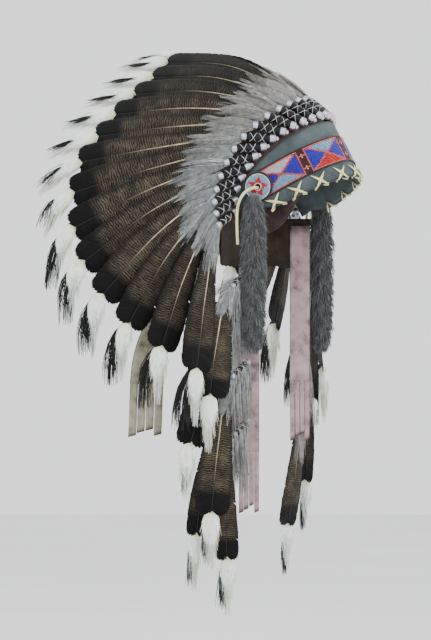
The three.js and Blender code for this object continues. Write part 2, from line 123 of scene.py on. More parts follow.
def profile(at: Array, rows: tuple) -> Array:
    """Values at places, read between rows of a place and a value."""
    places, values = np.array(rows, float).T
    return np.interp(at, places, values)


def band_frame(side: Array, forward: Array, up: Array) -> Array:
    """Turns the tilted frame of the head ring into the frame of the part.

    Args:
        side: Distance to the wearer's left.
        forward: Distance towards the brow, along the ring.
        up: Height square to the ring.

    Returns:
        Points, with one more axis than the arguments.
    """
    cos, sin = np.cos(RING_TILT), np.sin(RING_TILT)
    parts = np.broadcast_arrays(side, -forward * cos + up * sin, forward * sin + up * cos)
    return np.stack(parts, axis=-1)


def ring_point(degrees: Array, lift: Array, out: Array) -> Array:
    """Point of the head ring.

    Formula: an ellipse of half axes 85 + out and 107 + out, at an angle from the brow,
    raised by lift square to the tilted ring.

    Args:
        degrees: Angle from the brow, positive to the wearer's right.
        lift: Height over the ring's plane.
        out: Distance outside the ellipse.

    Returns:
        Points in millimetres, with one more axis than the arguments.
    """
    angle = np.radians(degrees)
    side = -(RING_HALF_WIDTH + out) * np.sin(angle)
    return band_frame(side, (RING_HALF_DEPTH + out) * np.cos(angle), lift)


def hermite(weight: Array, p1: Array, p2: Array, m1: Array,
            m2: Array) -> Array:
    """Cubic between p1 and p2 whose slopes at the ends are m1 and m2.

    Args:
        weight: 0 at the first point and 1 at the second.
        p1: First point.
        p2: Second point.
        m1: Slope at the first.
        m2: Slope at the second.

    Returns:
        Points of the cubic.
    """
    w2, w3 = weight * weight, weight**3
    return ((2 * w3 - 3 * w2 + 1) * p1 + (w3 - 2 * w2 + weight) * m1
            + (3 * w2 - 2 * w3) * p2 + (w3 - w2) * m2)


class Spine:
    """A smooth line through a few points, read by its share of length."""

    def __init__(self, points: Array, steps: int = 40) -> None:
        """Samples a centripetal spline through the points.

        Args:
            points: Two or more points, one a row.
            steps: Samples between each two of them.
        """
        points = np.asarray(points, float)
        ends = np.vstack([2 * points[0] - points[1], points, 2 * points[-1] - points[-2]])
        p0, p1, p2, p3 = ends[:-3], ends[1:-2], ends[2:-1], ends[3:]
        gaps = np.sqrt(np.linalg.norm(np.diff(ends, axis=0), axis=1))
        d0, d1, d2 = gaps[:-2, None], gaps[1:-1, None], gaps[2:, None]
        m1 = ((p1 - p0) / d0 - (p2 - p0) / (d0 + d1) + (p2 - p1) / d1) * d1
        m2 = ((p2 - p1) / d1 - (p3 - p1) / (d1 + d2) + (p3 - p2) / d2) * d1
        weight = np.linspace(0, 1, steps, endpoint=False)[None, :, None]
        curve = hermite(weight, p1[:, None], p2[:, None], m1[:, None], m2[:, None])
        self.points = np.vstack([curve.reshape(-1, 3), points[-1:]])
        lengths = np.linalg.norm(np.diff(self.points, axis=0), axis=1)
        run = np.concatenate([[0.0], np.cumsum(lengths)])
        self.length = float(run[-1])
        self.share = run / run[-1]

    def at(self, share: Array) -> Array:
        """Points at shares of the length, carried straight on past either end.

        Args:
            share: Shares of the length.

        Returns:
            A point for each share.
        """
        share = np.asarray(share, float)
        inside = np.clip(share, 0.0, 1.0)
        found = np.stack([np.interp(inside, self.share, self.points[:, k]) for k in range(3)], -1)
        beyond = (share - inside)[..., None] * self.length
        return found + beyond * self.tangent(inside)

    def tangent(self, share: Array) -> Array:
        """Directions of the line at shares of its length.

        Args:
            share: Shares of the length.

        Returns:
            A direction of length 1 for each share.
        """
        share = np.clip(np.asarray(share, float), 0.004, 0.996)
        ahead = [np.interp(share + 0.004, self.share, self.points[:, k]) for k in range(3)]
        behind = [np.interp(share - 0.004, self.share, self.points[:, k]) for k in range(3)]
        return unit(np.stack(ahead, -1) - np.stack(behind, -1))


def fan_column(column: list, share: float) -> Array:
    """Point of one column of the fan's rows at a share of the way round.

    Formula: a uniform spline through the rows, with the first mirrored before it.

    Args:
        column: Points from the brow to below the ear.
        share: 0 at the brow and 1 at the last row.

    Returns:
        One point.
    """
    rows = np.array(column, float)
    rows = np.vstack([rows[1] * MIRROR, rows])
    rows = np.vstack([2 * rows[0] - rows[1], rows, 2 * rows[-1] - rows[-2]])
    place = 1 + share * (len(column) - 1)
    k = int(min(np.floor(place), len(rows) - 4))
    p0, p1, p2, p3 = rows[k:k + 4]
    return hermite(np.array(place - k), p1, p2, 0.5 * (p2 - p0), 0.5 * (p3 - p1))


# ---------------------------------------------------------------- skins


@dataclass
class Skin:
    """Vertices and faces of a mesh in the making, with values for its finishes.

    Attributes:
        points: Vertices in millimetres.
        quads: Faces of four corners.
        tris: Faces of three corners.
        uv: Two values for each vertex, read by the finishes.
        tint: Colour for each vertex, read by the finishes.
        quad_slots: Number of the finish of each quad.
        tri_slots: Number of the finish of each triangle.
    """

    points: Array
    quads: Array
    tris: Array
    uv: Array
    tint: Array
    quad_slots: Array
    tri_slots: Array

    def flipped(self) -> "Skin":
        """The same skin on the wearer's other side, still facing out."""
        return replace(self, points=self.points * MIRROR, quads=self.quads[:, ::-1],
                       tris=self.tris[:, ::-1])

    def with_slots(self, quad_slots: Array, tri_slot: int) -> "Skin":
        """The same skin with a finish number for each quad and one for the triangles."""
        return replace(self, quad_slots=quad_slots, tri_slots=np.full(len(self.tris), tri_slot))

    def with_slot(self, number: int) -> "Skin":
        """The same skin in the finish of that number."""
        return self.with_slots(np.full(len(self.quads), number), number)


def joined(skins: list[Skin]) -> Skin:
    """One skin of several that keep their own vertices.

    Args:
        skins: The skins, in order.

    Returns:
        One skin, whose faces count on from one skin's vertices to the next's.
    """
    starts = np.cumsum([0] + [len(skin.points) for skin in skins[:-1]])
    moved = [replace(skin, quads=skin.quads + start, tris=skin.tris + start)
             for skin, start in zip(skins, starts)]
    return Skin(*(np.concatenate([getattr(skin, column.name) for skin in moved])
                  for column in fields(Skin)))


def spread(values: Array, shape: tuple, width: int) -> Array:
    """Values repeated over an array's shape, one row of width for each vertex."""
    return np.broadcast_to(np.asarray(values, float), shape + (width,)).reshape(-1, width)


def tubes(rings: Array, uv: Array = (0, 0), tint: Array = (1, 1, 1, 1)) -> Skin:
    """Closed tubes through rings of points.

    Formula: ring j of tube i is joined to ring j + 1 by quads, and the first and last rings
    are closed by flat fans. Rings run counter-clockwise seen from the tube's far end.

    Args:
        rings: Array of tubes, rings, corners and x, y, z.
        uv: Two values, or an array that fits over tubes, rings and corners.
        tint: Four values, or an array that fits over tubes, rings and corners.

    Returns:
        One skin with all the tubes.
    """
    count, rows, sides = rings.shape[:3]
    base = (np.arange(count) * rows * sides)[:, None, None]
    row = (np.arange(rows - 1) * sides)[None, :, None]
    corner = np.arange(sides)[None, None, :]
    after = (corner + 1) % sides
    a, b = base + row + corner, base + row + after
    quads = np.stack([a, b, b + sides, a + sides], -1).reshape(-1, 4)
    fan = np.arange(1, sides - 1)[None, :]
    first, last = base[:, :, 0], base[:, :, 0] + (rows - 1) * sides
    zero = np.zeros_like(fan)
    tris = np.concatenate([
        np.stack([first + zero, first + fan + 1, first + fan], -1).reshape(-1, 3),
        np.stack([last + zero, last + fan, last + fan + 1], -1).reshape(-1, 3),
    ])
    shape = (count, rows, sides)
    return Skin(rings.reshape(-1, 3), quads, tris, spread(uv, shape, 2), spread(tint, shape, 4),
                np.zeros(len(quads), int), np.zeros(len(tris), int))


def round_rings(lines: Array, radii: Array, sides: int,
                across: Array | None = None, flat: float = 1.0) -> Array:
    """Rings of corners round lines of points.

    Formula: centre + radius (cos a * across + flat * sin a * through), where through is the
    line's tangent times across.

    Args:
        lines: Array of lines, points and x, y, z.
        radii: Radius at each point, or anything that fits over lines and points.
        sides: Corners to a ring.
        across: Directions that the rings' first corners point in, or None for any.
        flat: Thickness as a share of width.

    Returns:
        Array of lines, rings, corners and x, y, z.
    """
    tangent = unit(np.gradient(lines, axis=1))
    if across is None:
        across = np.cross(tangent, np.array([0.31, 0.52, 0.79]))
    through = unit(np.cross(tangent, across))
    across = unit(np.cross(through, tangent))
    angle = 2 * np.pi * (np.arange(sides) + 0.5) / sides
    radii = np.broadcast_to(radii, lines.shape[:2])[..., None, None]
    turn = (np.cos(angle)[:, None] * across[:, :, None, :]
            + flat * np.sin(angle)[:, None] * through[:, :, None, :])
    return lines[:, :, None, :] + radii * turn


def bezier(start: Array, knee: Array, end: Array, steps: int) -> Array:
    """Lines from start to end that bend towards knee: (1-t)^2 a + 2t(1-t) b + t^2 c.

    Args:
        start: First points, one a row.
        knee: Points that the lines bend towards.
        end: Last points.
        steps: Points along each line.

    Returns:
        Array of lines, points and x, y, z.
    """
    t = np.linspace(0, 1, steps)[None, :, None]
    return ((1 - t) ** 2 * start[:, None] + 2 * t * (1 - t) * knee[:, None]
            + t**2 * end[:, None])


def strands(start: Array, knee: Array, end: Array, radius: float,
            tint: Array, steps: int = 4, taper: float = 0.25) -> Skin:
    """Thin tapered hairs or barbs with three sides.

    Formula: a bent line for each strand, radius (1 - (1 - taper) t) at share t.

    Args:
        start: Roots, one a row.
        knee: Points that the strands bend towards.
        end: Points that they end at.
        radius: Radius at the root, in millimetres.
        tint: Colour of each strand, one row of four a strand.
        steps: Points along each strand.
        taper: Radius at the end as a share of the one at the root.

    Returns:
        One skin. Its uv holds the share along the strand.
    """
    lines = bezier(start, knee, end, steps)
    share = np.linspace(0, 1, steps)
    rings = round_rings(lines, radius * (1 - (1 - taper) * share)[None], 3)
    uv = np.zeros(rings.shape[:3] + (2,))
    uv[..., 0] = share[None, :, None]
    return tubes(rings, uv, tint[:, None, None, :])


def closed_sheet(top: Array, bottom: Array, uv: Array | None = None) -> Skin:
    """A sheet with two faces and a closed edge.

    Formula: each row of the grid becomes one ring, out along the top and back along the
    bottom, and the rows are joined as a tube.

    Args:
        top: Grid of rows, points and x, y, z on the outer face.
        bottom: The same grid on the inner face.
        uv: Two values for each point of the grid.

    Returns:
        One closed skin.
    """
    rings = np.concatenate([top, bottom[:, ::-1]], axis=1)[None]
    if uv is None:
        rows, columns = top.shape[:2]
        uv = np.stack(np.meshgrid(np.linspace(0, 1, rows), np.linspace(0, 1, columns),
                                  indexing="ij"), -1)
    return tubes(rings, np.concatenate([uv, uv[:, ::-1]], axis=1)[None])


# ---------------------------------------------------------------- finishes


class Nodes:
    """Short calls that lay out one material's nodes."""

    def __init__(self, name: str) -> None:
        """Starts a material with one surface shader.

        Args:
            name: The finish's name.
        """
        self.material = bpy.data.materials.new(name)
        self.material.use_nodes = True
        self.tree = self.material.node_tree
        self.shader = self.tree.nodes["Principled BSDF"]

    def add(self, kind: str, **settings: object) -> bpy.types.Node:
        """Adds a node, with its properties set.

        Args:
            kind: The node's type.
            settings: Its properties by name.

        Returns:
            The node.
        """
        node = self.tree.nodes.new(kind)
        for key, value in settings.items():
            setattr(node, key, value)
        return node

    def link(self, source: Socket, target: Socket) -> None:
        """Joins two sockets."""
        self.tree.links.new(source, target)

    def place(self) -> Socket:
        """Object coordinates, in metres."""
        return self.add("ShaderNodeTexCoord").outputs["Object"]

    def own_uv(self) -> tuple[Socket, Socket]:
        """The mesh's own two values, as separate sockets.

        Returns:
            Sockets of the first value and the second.
        """
        node = self.add("ShaderNodeUVMap", uv_map="grain")
        split = self.add("ShaderNodeSeparateXYZ")
        self.link(node.outputs["UV"], split.inputs[0])
        return split.outputs[0], split.outputs[1]

    def tint(self) -> Socket:
        """The mesh's own colour."""
        return self.add("ShaderNodeAttribute", attribute_name="tint").outputs["Color"]

    def noise(self, scale: float, detail: float = 3.0, rough: float = 0.55,
              where: Socket | None = None) -> Socket:
        """Soft noise of that many patches a metre.

        Args:
            scale: Patches a metre.
            detail: How many finer layers it has.
            rough: How strong they are.
            where: Coordinates, or None for Object coordinates.

        Returns:
            A socket with values from 0 to 1.
        """
        node = self.add("ShaderNodeTexNoise")
        node.inputs["Scale"].default_value = scale
        node.inputs["Detail"].default_value = detail
        node.inputs["Roughness"].default_value = rough
        self.link(where or self.place(), node.inputs["Vector"])
        return node.outputs["Fac"]

    def maths(self, kind: str, a: object, b: object = 0.0) -> Socket:
        """One sum of two values or sockets.

        Args:
            kind: The sum's name.
            a: First value or socket.
            b: Second value or socket.

        Returns:
            The result's socket.
        """
        node = self.add("ShaderNodeMath", operation=kind)
        for socket, value in zip(node.inputs, (a, b)):
            if isinstance(value, Socket):
                self.link(value, socket)
            else:
                socket.default_value = value
        return node.outputs[0]

    def off_middle(self, value: Socket) -> Socket:
        """How far a value is from a half."""
        return self.maths("ABSOLUTE", self.maths("SUBTRACT", value, 0.5))

    def stirred(self, value: object, scale: float, detail: float, amount: float) -> Socket:
        """A value raised by soft noise times an amount."""
        return self.maths("ADD", value, self.maths("MULTIPLY", self.noise(scale, detail), amount))

    def ramp(self, value: Socket, *stops: tuple) -> Socket:
        """Colours by value: each stop is a place and a colour.

        Args:
            value: The socket that is read.
            stops: Places from 0 to 1, each with a colour of 0 to 255.

        Returns:
            The colour's socket.
        """
        node = self.add("ShaderNodeValToRGB")
        while len(node.color_ramp.elements) < len(stops):
            node.color_ramp.elements.new(0.5)
        for element, (place, color) in zip(node.color_ramp.elements, stops):
            element.position = place
            element.color = linear(color)
        self.link(value, node.inputs[0])
        return node.outputs[0]

    def mix(self, factor: object, a: object, b: object, blend: str = "MIX") -> Socket:
        """Mixes two colours.

        Args:
            factor: Share of the second colour, as a number or a socket.
            a: First colour or socket.
            b: Second colour or socket.
            blend: How the two are put together.

        Returns:
            The colour's socket.
        """
        node = self.add("ShaderNodeMix", data_type="RGBA", blend_type=blend)
        for number, value in ((0, factor), (6, a), (7, b)):
            if isinstance(value, Socket):
                self.link(value, node.inputs[number])
            elif number == 0:
                node.inputs[number].default_value = value
            else:
                node.inputs[number].default_value = linear(value)
        return node.outputs[2]

    def bump(self, height: Socket, depth: float, strength: float = 1.0) -> None:
        """Raises the surface by a height from 0 to 1 times a depth in metres.

        Args:
            height: Socket with values from 0 to 1.
            depth: Depth in metres.
            strength: Share of the effect.
        """
        node = self.add("ShaderNodeBump")
        node.inputs["Strength"].default_value = strength
        node.inputs["Distance"].default_value = depth
        self.link(height, node.inputs["Height"])
        self.link(node.outputs[0], self.shader.inputs["Normal"])

    def finish(self, color: object, rough: float, **settings: float) -> Material:
        """Sets the shader's colour, roughness and other sockets.

        Args:
            color: A socket, or a colour of three numbers.
            rough: Roughness.
            settings: Other sockets by name, with _ for a space.

        Returns:
            The material.
        """
        if isinstance(color, Socket):
            self.link(color, self.shader.inputs["Base Color"])
        else:
            self.shader.inputs["Base Color"].default_value = linear(color)
        self.shader.inputs["Roughness"].default_value = rough
        for key, value in settings.items():
            self.shader.inputs[key.replace("_", " ")].default_value = value
        return self.material


def linear(color: tuple) -> tuple:
    """A colour of 0 to 255 as the eye sees it, as four linear numbers with full cover."""
    share = np.array(color, float) / 255
    return (*np.where(share <= 0.04045, share / 12.92, ((share + 0.055) / 1.055) ** 2.4), 1.0)


def tint_of(color: tuple, count: int, rng: np.random.Generator, vary: float) -> Array:
    """Rows of one colour in linear numbers, each lighter or darker by up to vary."""
    shade = 1 + vary * rng.uniform(-1, 1, (count, 1))
    return np.hstack([np.clip(linear(color)[:3] * shade, 0, 1), np.ones((count, 1))])


NONE, FULL = (0, 0, 0), (255, 255, 255)


@dataclass(frozen=True)
class VaneFinish:
    """Barred brown vane with a black tip and painted shade towards its edges; uv is share along and
    share across.
    """

    name: str = "barred_vane"
    brown: tuple = (26, 22, 18)
    bar: tuple = (108, 96, 79)
    tip: tuple = (4, 4, 5)
    speck: tuple = (20, 17, 15)
    # Colour of the painted shade where neighbouring feathers overlap the vane's edges.
    edge: tuple = (13, 11, 10)
    bar_waves: float = 500.0
    barb_waves: float = 1500.0

    def build(self) -> Material:
        """Makes the material.

        Returns:
            The material.
        """
        n = Nodes(self.name)
        along, across = n.own_uv()
        swept = n.stirred(along, 110, 3, 0.034)
        wave = n.maths("SINE", n.maths("MULTIPLY", swept, self.bar_waves))
        patch = n.noise(70, 5, 0.75)
        bars = n.ramp(n.maths("ADD", n.maths("MULTIPLY", wave, 0.18), patch),
                      (0.36, self.brown), (0.76, self.bar))
        mottled = n.mix(n.maths("MULTIPLY", n.noise(600, 2), 0.55), bars, self.speck)
        end = n.ramp(n.stirred(along, 140, 2, 0.03), (0.85, NONE), (0.90, FULL))
        edge = n.off_middle(across)
        # Painted shade where neighbouring feathers overlap the vane: both edges darken, and the
        # edge at low across values darkens more.
        painted_edge_shade = n.ramp(n.stirred(edge, 70, 3, 0.12), (0.42, NONE), (0.56, (225,) * 3))
        upper = n.ramp(n.stirred(across, 60, 3, 0.16), (0.13, (215,) * 3), (0.27, NONE))
        dark = n.maths("MAXIMUM", painted_edge_shade, upper)
        color = n.mix(dark, n.mix(end, mottled, self.tip), self.edge)
        slanted = n.maths("SUBTRACT", along, n.maths("MULTIPLY", edge, 0.16))
        barbs = n.maths("SINE", n.maths("MULTIPLY", slanted, self.barb_waves))
        n.bump(barbs, 0.0002, 0.5)
        return n.finish(n.mix(1.0, color, n.tint(), "MULTIPLY"), 0.6,
                        Specular_IOR_Level=0.16, Sheen_Weight=0.02, Sheen_Roughness=0.4)


@dataclass(frozen=True)
class StrandFinish:
    """Hairs, barbs and down, coloured by the mesh's own tint."""

    name: str
    rough: float = 0.7
    sheen: float = 0.3
    see_through: float = 0.0
    mottle: int = 186

    def build(self) -> Material:
        """Makes the material.

        Returns:
            The material.
        """
        n = Nodes(self.name)
        shade = n.ramp(n.noise(190, 4), (0.34, (self.mottle,) * 3), (0.66, FULL))
        n.bump(n.noise(900, 2), 0.0004, 0.4)
        return n.finish(n.mix(1.0, n.tint(), shade, "MULTIPLY"), self.rough,
                        Sheen_Weight=self.sheen, Sheen_Roughness=0.5,
                        Subsurface_Weight=self.see_through, Subsurface_Scale=0.004)


@dataclass(frozen=True)
class ThreadFinish:
    """Thread or tape wound round a quill, with a painted highlight on its raised turns; uv is share
    along the wrap.
    """

    name: str
    color: tuple
    # Colour of the painted highlight on the raised turns.
    light: tuple
    turns: float
    rough: float = 0.5
    metal: float = 0.0

    def build(self) -> Material:
        """Makes the material.

        Returns:
            The material.
        """
        n = Nodes(self.name)
        along, _ = n.own_uv()
        wave = n.maths("SINE", n.maths("MULTIPLY", along, self.turns * 2 * np.pi))
        height = n.maths("ADD", n.maths("MULTIPLY", wave, 0.5), 0.5)
        # Painted highlight: the light colour lies on the raised turns, broken into patches of wear
        # by noise.
        wear_and_sheen = n.noise(220, 3, 0.7)
        color = n.mix(n.maths("MULTIPLY", wear_and_sheen, height), self.color, self.light)
        n.bump(height, 0.0003, 0.8)
        return n.finish(color, self.rough, Metallic=self.metal, Specular_IOR_Level=0.3)


@dataclass(frozen=True)
class BeadFinish:
    """Glossy glass beads, coloured by the mesh's own tint."""

    name: str = "seed_bead"

    def build(self) -> Material:
        """Makes the material.

        Returns:
            The material.
        """
        n = Nodes(self.name)
        shade = n.ramp(n.noise(300, 2), (0.35, (205,) * 3), (0.65, FULL))
        return n.finish(n.mix(1.0, n.tint(), shade, "MULTIPLY"), 0.22,
                        Specular_IOR_Level=0.5, Coat_Weight=0.3, Coat_Roughness=0.1)


@dataclass(frozen=True)
class HideFinish:
    """Suede, hide or felt with a nap, patches of wear and darker edges; uv is down and across."""

    name: str
    color: tuple
    light: tuple
    dark: tuple
    grain: float = 700.0
    edge: float = 0.5
    depth: float = 0.0005

    def build(self) -> Material:
        """Makes the material.

        Returns:
            The material.
        """
        n = Nodes(self.name)
        down, across = n.own_uv()
        blotch = n.ramp(n.noise(38, 5, 0.65), (0.32, self.dark), (0.5, self.color),
                        (0.7, self.light))
        nap = n.mix(n.maths("MULTIPLY", n.noise(self.grain, 3, 0.7), 0.35), blotch, self.light)
        rim = n.maths("MAXIMUM", n.off_middle(down), n.off_middle(across))
        # Darker rims, for wear at the edges.
        wear_and_sheen = n.ramp(n.stirred(rim, 120, 3, 0.03), (0.475, NONE), (0.51, FULL))
        color = n.mix(n.maths("MULTIPLY", wear_and_sheen, self.edge), nap, self.dark)
        n.bump(n.maths("ADD", n.noise(self.grain, 4, 0.75),
                       n.maths("MULTIPLY", n.noise(90, 3), 1.5)), self.depth, 0.8)
        return n.finish(color, 0.92, Sheen_Weight=0.1, Sheen_Roughness=0.6,
                        Specular_IOR_Level=0.2)


@dataclass(frozen=True)
class FloorFinish:
    """Plain pale floor."""

    name: str = "pale_floor"

    def build(self) -> Material:
        """Makes the material."""
        n = Nodes(self.name)
        return n.finish(n.ramp(n.noise(3, 2), (0.3, (236,) * 3), (0.7, (240,) * 3)), 0.9)


VANE = VaneFinish()
QUILL = StrandFinish("cream_shaft", rough=0.45, sheen=0.0)
FLUFF = StrandFinish("white_fluff", rough=0.85, sheen=0.3, see_through=0.3, mottle=236)
DOWN_PLUME = StrandFinish("grey_plume", rough=0.85, sheen=0.35, see_through=0.1)
HAIR = StrandFinish("dark_horsehair", rough=0.4, sheen=0.0)
FUR = StrandFinish("grey_fur_pile", rough=0.75, sheen=0.3)
# The second colour of each wrap is a painted highlight on its raised turns.
WRAP = ThreadFinish("black_wrap", (3, 3, 5), (26, 27, 32), 46.0, 0.42)
SILVER = ThreadFinish("silver_band", (176, 178, 188), (236, 236, 242), 24.0, 0.28, 0.9)
BEADS = BeadFinish()
SLATE = HideFinish("slate_suede_nap", (66, 77, 79), (82, 93, 95), (46, 54, 56), 800.0, 0.9)
# The cap's mauve felt is darkened into painted shade, where it shows between the band and the
# quills' knobs.
FELT = HideFinish("mauve_felt", (70, 54, 55), (98, 79, 79), (38, 29, 30), 500.0, 0.4, 0.0008)
MAUVE = HideFinish("mauve_suede_nap", (162, 136, 140), (186, 163, 164), (58, 44, 54), 700.0, 0.9)
TAUPE = HideFinish("taupe_suede_nap", (150, 145, 122), (184, 180, 158), (52, 46, 34), 700.0, 0.9)
BROWN = HideFinish("brown_suede_nap", (42, 33, 25), (70, 58, 44), (16, 12, 9), 700.0, 0.9)
LACE = HideFinish("cream_lace", (228, 226, 158), (246, 244, 196), (176, 170, 104), 900.0, 0.2)
MAROON = HideFinish("strip_backing", (48, 16, 18), (70, 26, 26), (22, 8, 10), 700.0)


class Workshop:
    """Turns skins into pieces of the scene, and keeps each finish once."""

    def __init__(self) -> None:
        """Starts with no finishes."""
        self.finishes: dict[str, Material] = {}

    def material(self, finish: object) -> Material:
        """The finish's material, made on its first use.

        Args:
            finish: A finish with a name and a build method.

        Returns:
            The material.
        """
        if finish.name not in self.finishes:
            self.finishes[finish.name] = finish.build()
        return self.finishes[finish.name]

    def piece(self, name: str, skin: Skin, finishes: list, slot: str,
              nodes: tuple = (), flip: bool = False) -> bpy.types.Object:
        """Makes one piece that rides on the headdress.

        Args:
            name: The piece's name.
            skin: Its shape, in millimetres.
            finishes: Finishes, in the order of the skin's slot numbers.
            slot: Not used.
            nodes: The solids that it stands for.
            flip: True to mirror it to the wearer's left.

        Returns:
            The new object.
        """
        skin = skin.flipped() if flip else skin
        mesh = bpy.data.meshes.new(name)
        quads, tris = skin.quads, skin.tris
        loops = np.concatenate([quads.ravel(), tris.ravel()]).astype(np.int32)
        totals = np.concatenate([np.full(len(quads), 4), np.full(len(tris), 3)]).astype(np.int32)
        starts = np.concatenate([[0], np.cumsum(totals)[:-1]]).astype(np.int32)
        mesh.vertices.add(len(skin.points))
        mesh.vertices.foreach_set("co", (skin.points * MM).astype(np.float32).ravel())
        mesh.loops.add(len(loops))
        mesh.loops.foreach_set("vertex_index", loops)
        mesh.polygons.add(len(totals))
        mesh.polygons.foreach_set("loop_start", starts)
        mesh.polygons.foreach_set("loop_total", totals)
        mesh.polygons.foreach_set(
            "material_index", np.concatenate([skin.quad_slots, skin.tri_slots]).astype(np.int32))
        mesh.update(calc_edges=True)
        mesh.uv_layers.new(name="grain").data.foreach_set(
            "uv", skin.uv[loops].astype(np.float32).ravel())
        mesh.color_attributes.new("tint", "FLOAT_COLOR", "POINT").data.foreach_set(
            "color", skin.tint.astype(np.float32).ravel())
        mesh.validate()
        mesh.shade_smooth()
        for finish in finishes:
            mesh.materials.append(self.material(finish))
        piece = bpy.data.objects.new(name, mesh)
        bpy.context.collection.objects.link(piece)
        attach(piece, "root")
        if nodes:
            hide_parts(*nodes)
        LOG.info("%s: %d faces", name, len(totals))
        return piece

    def dress(self, node: str, skin: Skin, finishes: list, slot: str,
              flip: bool = False) -> bpy.types.Object:
        """Makes the piece that stands for one solid, named after it."""
        return self.piece(f"dressed_{node}", skin, finishes, slot, (node,), flip)


# ---------------------------------------------------------------- feathers


class Part(IntEnum):
    """Parts of a feather, numbered in the order of its finishes."""

    VANE = 0
    SHAFT = 1
    FLUFF = 2
    PLUME = 3
    WRAP = 4
    SILVER = 5
    HAIR = 6


FEATHER_FINISHES = [VANE, QUILL, FLUFF, DOWN_PLUME, WRAP, SILVER, HAIR]
SHAFT_ROOT, SHAFT_TIP = (206, 194, 156), (26, 21, 17)
KNOB, THREAD = (240, 214, 214), (236, 236, 232)
WHITE_DOWN, WHITE_CORE, HORSEHAIR = (250, 250, 246), (248, 248, 243), (18, 16, 16)
# How much red, green and blue the cream strands of the fluff lose: partly the down's own cream
# colour, partly painted shade.
CREAM_AND_SHADE_LOSS = np.array([0.30, 0.29, 0.60])
LINE_SAMPLES = 33

# Rows of a place along the feather and a size there: the vane's share of its full width, the
# shaft's radius, the plume's width, and the wrap's and the knob's radius. The fluff's places
# are shares of its own bent line.
VANE_ROWS = ((0.28, 0.42), (0.45, 0.66), (0.6, 0.88), (0.76, 1.0), (0.93, 0.97))
SHAFT_ROWS = ((0.16, 1.5), (0.5, 0.85), (0.985, 0.4))
PLUME_ROWS = ((0.1, 9), (0.2, 12.5), (0.28, 16), (0.42, 12.5), (0.52, 5))
PLUME_CORE = (4.8, 7.0, 8.6, 9.4, 9.4, 8.6, 6.8, 4.6, 1.0)
FLUFF_ROWS = ((-0.08, 6), (0.08, 12), (0.4, 14.5), (0.75, 12), (1.3, 4))
FLUFF_CORE = (0.5, 0.95, 1.02, 1, 1.02, 0.98, 0.9, 0.66, 0.25)
WRAP_ROWS = ((-0.012, 0.55), (-0.008, 0.95), (-0.004, 1.06), (0.018, 1.06), (0.022, 1.0),
             (0.026, 0.98), (0.075, 1.0), (0.12, 0.98), (0.144, 1.0), (0.147, 1.06),
             (0.15, 1.06), (0.168, 1.04), (0.172, 0.7))
# The silver bands are the rows of faces before the first of these and from the second on.
WRAP_BLACK = (4, 8)
KNOB_ROWS = ((-0.024, 0.8), (-0.021, 2.2), (-0.016, 2.7), (-0.011, 2.2), (-0.008, 1.2))


@dataclass
class FeatherLine:
    """Where one feather runs, and how it is turned.

    Attributes:
        spine: From the start of the wrapped quill to the tip of the vane.
        sideways: Directions across the vane at even shares of the spine.
        roll: Turn about the spine, in degrees.
        spread: Width as a share of the usual one.
        hang: How far the tip fluff hangs, from 0, straight on, to 1, straight down.
        lock: How many strands of horsehair hang at the tip.
        lock_length: How long they are.
        lean: How far the strands' ends swing aside, in millimetres.
        plume: Colour of the grey plume.
        plume_from: Share of the spine where the plume starts.
        light: How light the vane is.
        tip_size: Length of the fluff as a share of the usual one.
        veil: True for long grey down that hangs from the quill.
    """

    spine: Spine
    sideways: Array
    roll: float = 0.0
    spread: float = 1.0
    hang: float = 0.9
    lock: int = 46
    lock_length: float = 78.0
    lean: tuple = (-6.0, 12.0, 0.0)
    plume: tuple = (164, 168, 167)
    plume_from: float = 0.165
    light: float = 1.0
    tip_size: float = 1.0
    veil: bool = False

    def axes(self, share: Array) -> tuple[Array, Array, Array]:
        """Tangent, across and through directions at shares of the spine.

        Args:
            share: Shares of the spine.

        Returns:
            Three arrays of directions of length 1.
        """
        share = np.asarray(share, float)
        even = np.linspace(0, 1, len(self.sideways))
        clipped = np.clip(share, 0, 1)
        sideways = np.stack([np.interp(clipped, even, self.sideways[:, k]) for k in range(3)], -1)
        tangent = self.spine.tangent(share)
        through = unit(np.cross(tangent, sideways))
        across = unit(np.cross(through, tangent))
        cos, sin = np.cos(np.radians(self.roll)), np.sin(np.radians(self.roll))
        return tangent, across * cos - through * sin, through * cos + across * sin

    def at(self, share: Array, across: Array, through: Array) -> Array:
        """Points at shares of the spine, moved across and through the feather.

        Args:
            share: Shares of the spine.
            across: Distances across the vane.
            through: Distances out of its face.

        Returns:
            A point for each share.
        """
        _, side, out = self.axes(share)
        return (self.spine.at(share) + np.asarray(across)[..., None] * side
                + np.asarray(through)[..., None] * out)


def fan_line(number: int) -> FeatherLine:
    """Where a fan feather runs on the wearer's right.

    Formula: the spine at number / 13 of the way round the fan, turned to face square to the
    line between its neighbours, and rolled like a shingle over the one above.

    Args:
        number: 0 at the middle of the brow, 13 below the ear.

    Returns:
        The feather's line.
    """
    def spine(share: float) -> Spine:
        """Spine at a share of the way round."""
        return Spine(np.array([fan_column(column, share) for column in
                               (FAN_INNER, FAN_OUTER, FAN_MIDDLE, FAN_TIP)]))

    share = number / SIDE_FEATHERS
    step = NEIGHBOUR_STEP / SIDE_FEATHERS
    even = np.linspace(0, 1, LINE_SAMPLES)
    sideways = spine(min(share + step, 1.0)).at(even) - spine(share - step).at(even)
    roll, spread_share = 0.0, MIDDLE_SPREAD
    if number > 0:
        roll, spread_share = FAN_ROLL[0] + FAN_ROLL[1] * smoothstep(number, 10, 13), 1.0
    hairs, first_length, growth = SHORT_LOCK
    lock = LONG_LOCK if number >= FIRST_LOCK else (hairs, first_length + growth * number)
    lower = float(smoothstep(number, 3, 9))
    plume = tuple(HIGH_PLUME * (1 - lower) + LOW_PLUME * lower)
    return FeatherLine(spine(share), sideways, float(roll), spread_share,
                       float(FAN_HANG[0] + FAN_HANG[1] * smoothstep(number, 4, 9)), *lock,
                       plume=plume, light=float(0.2 + 0.8 * smoothstep(number, 0, 6)))


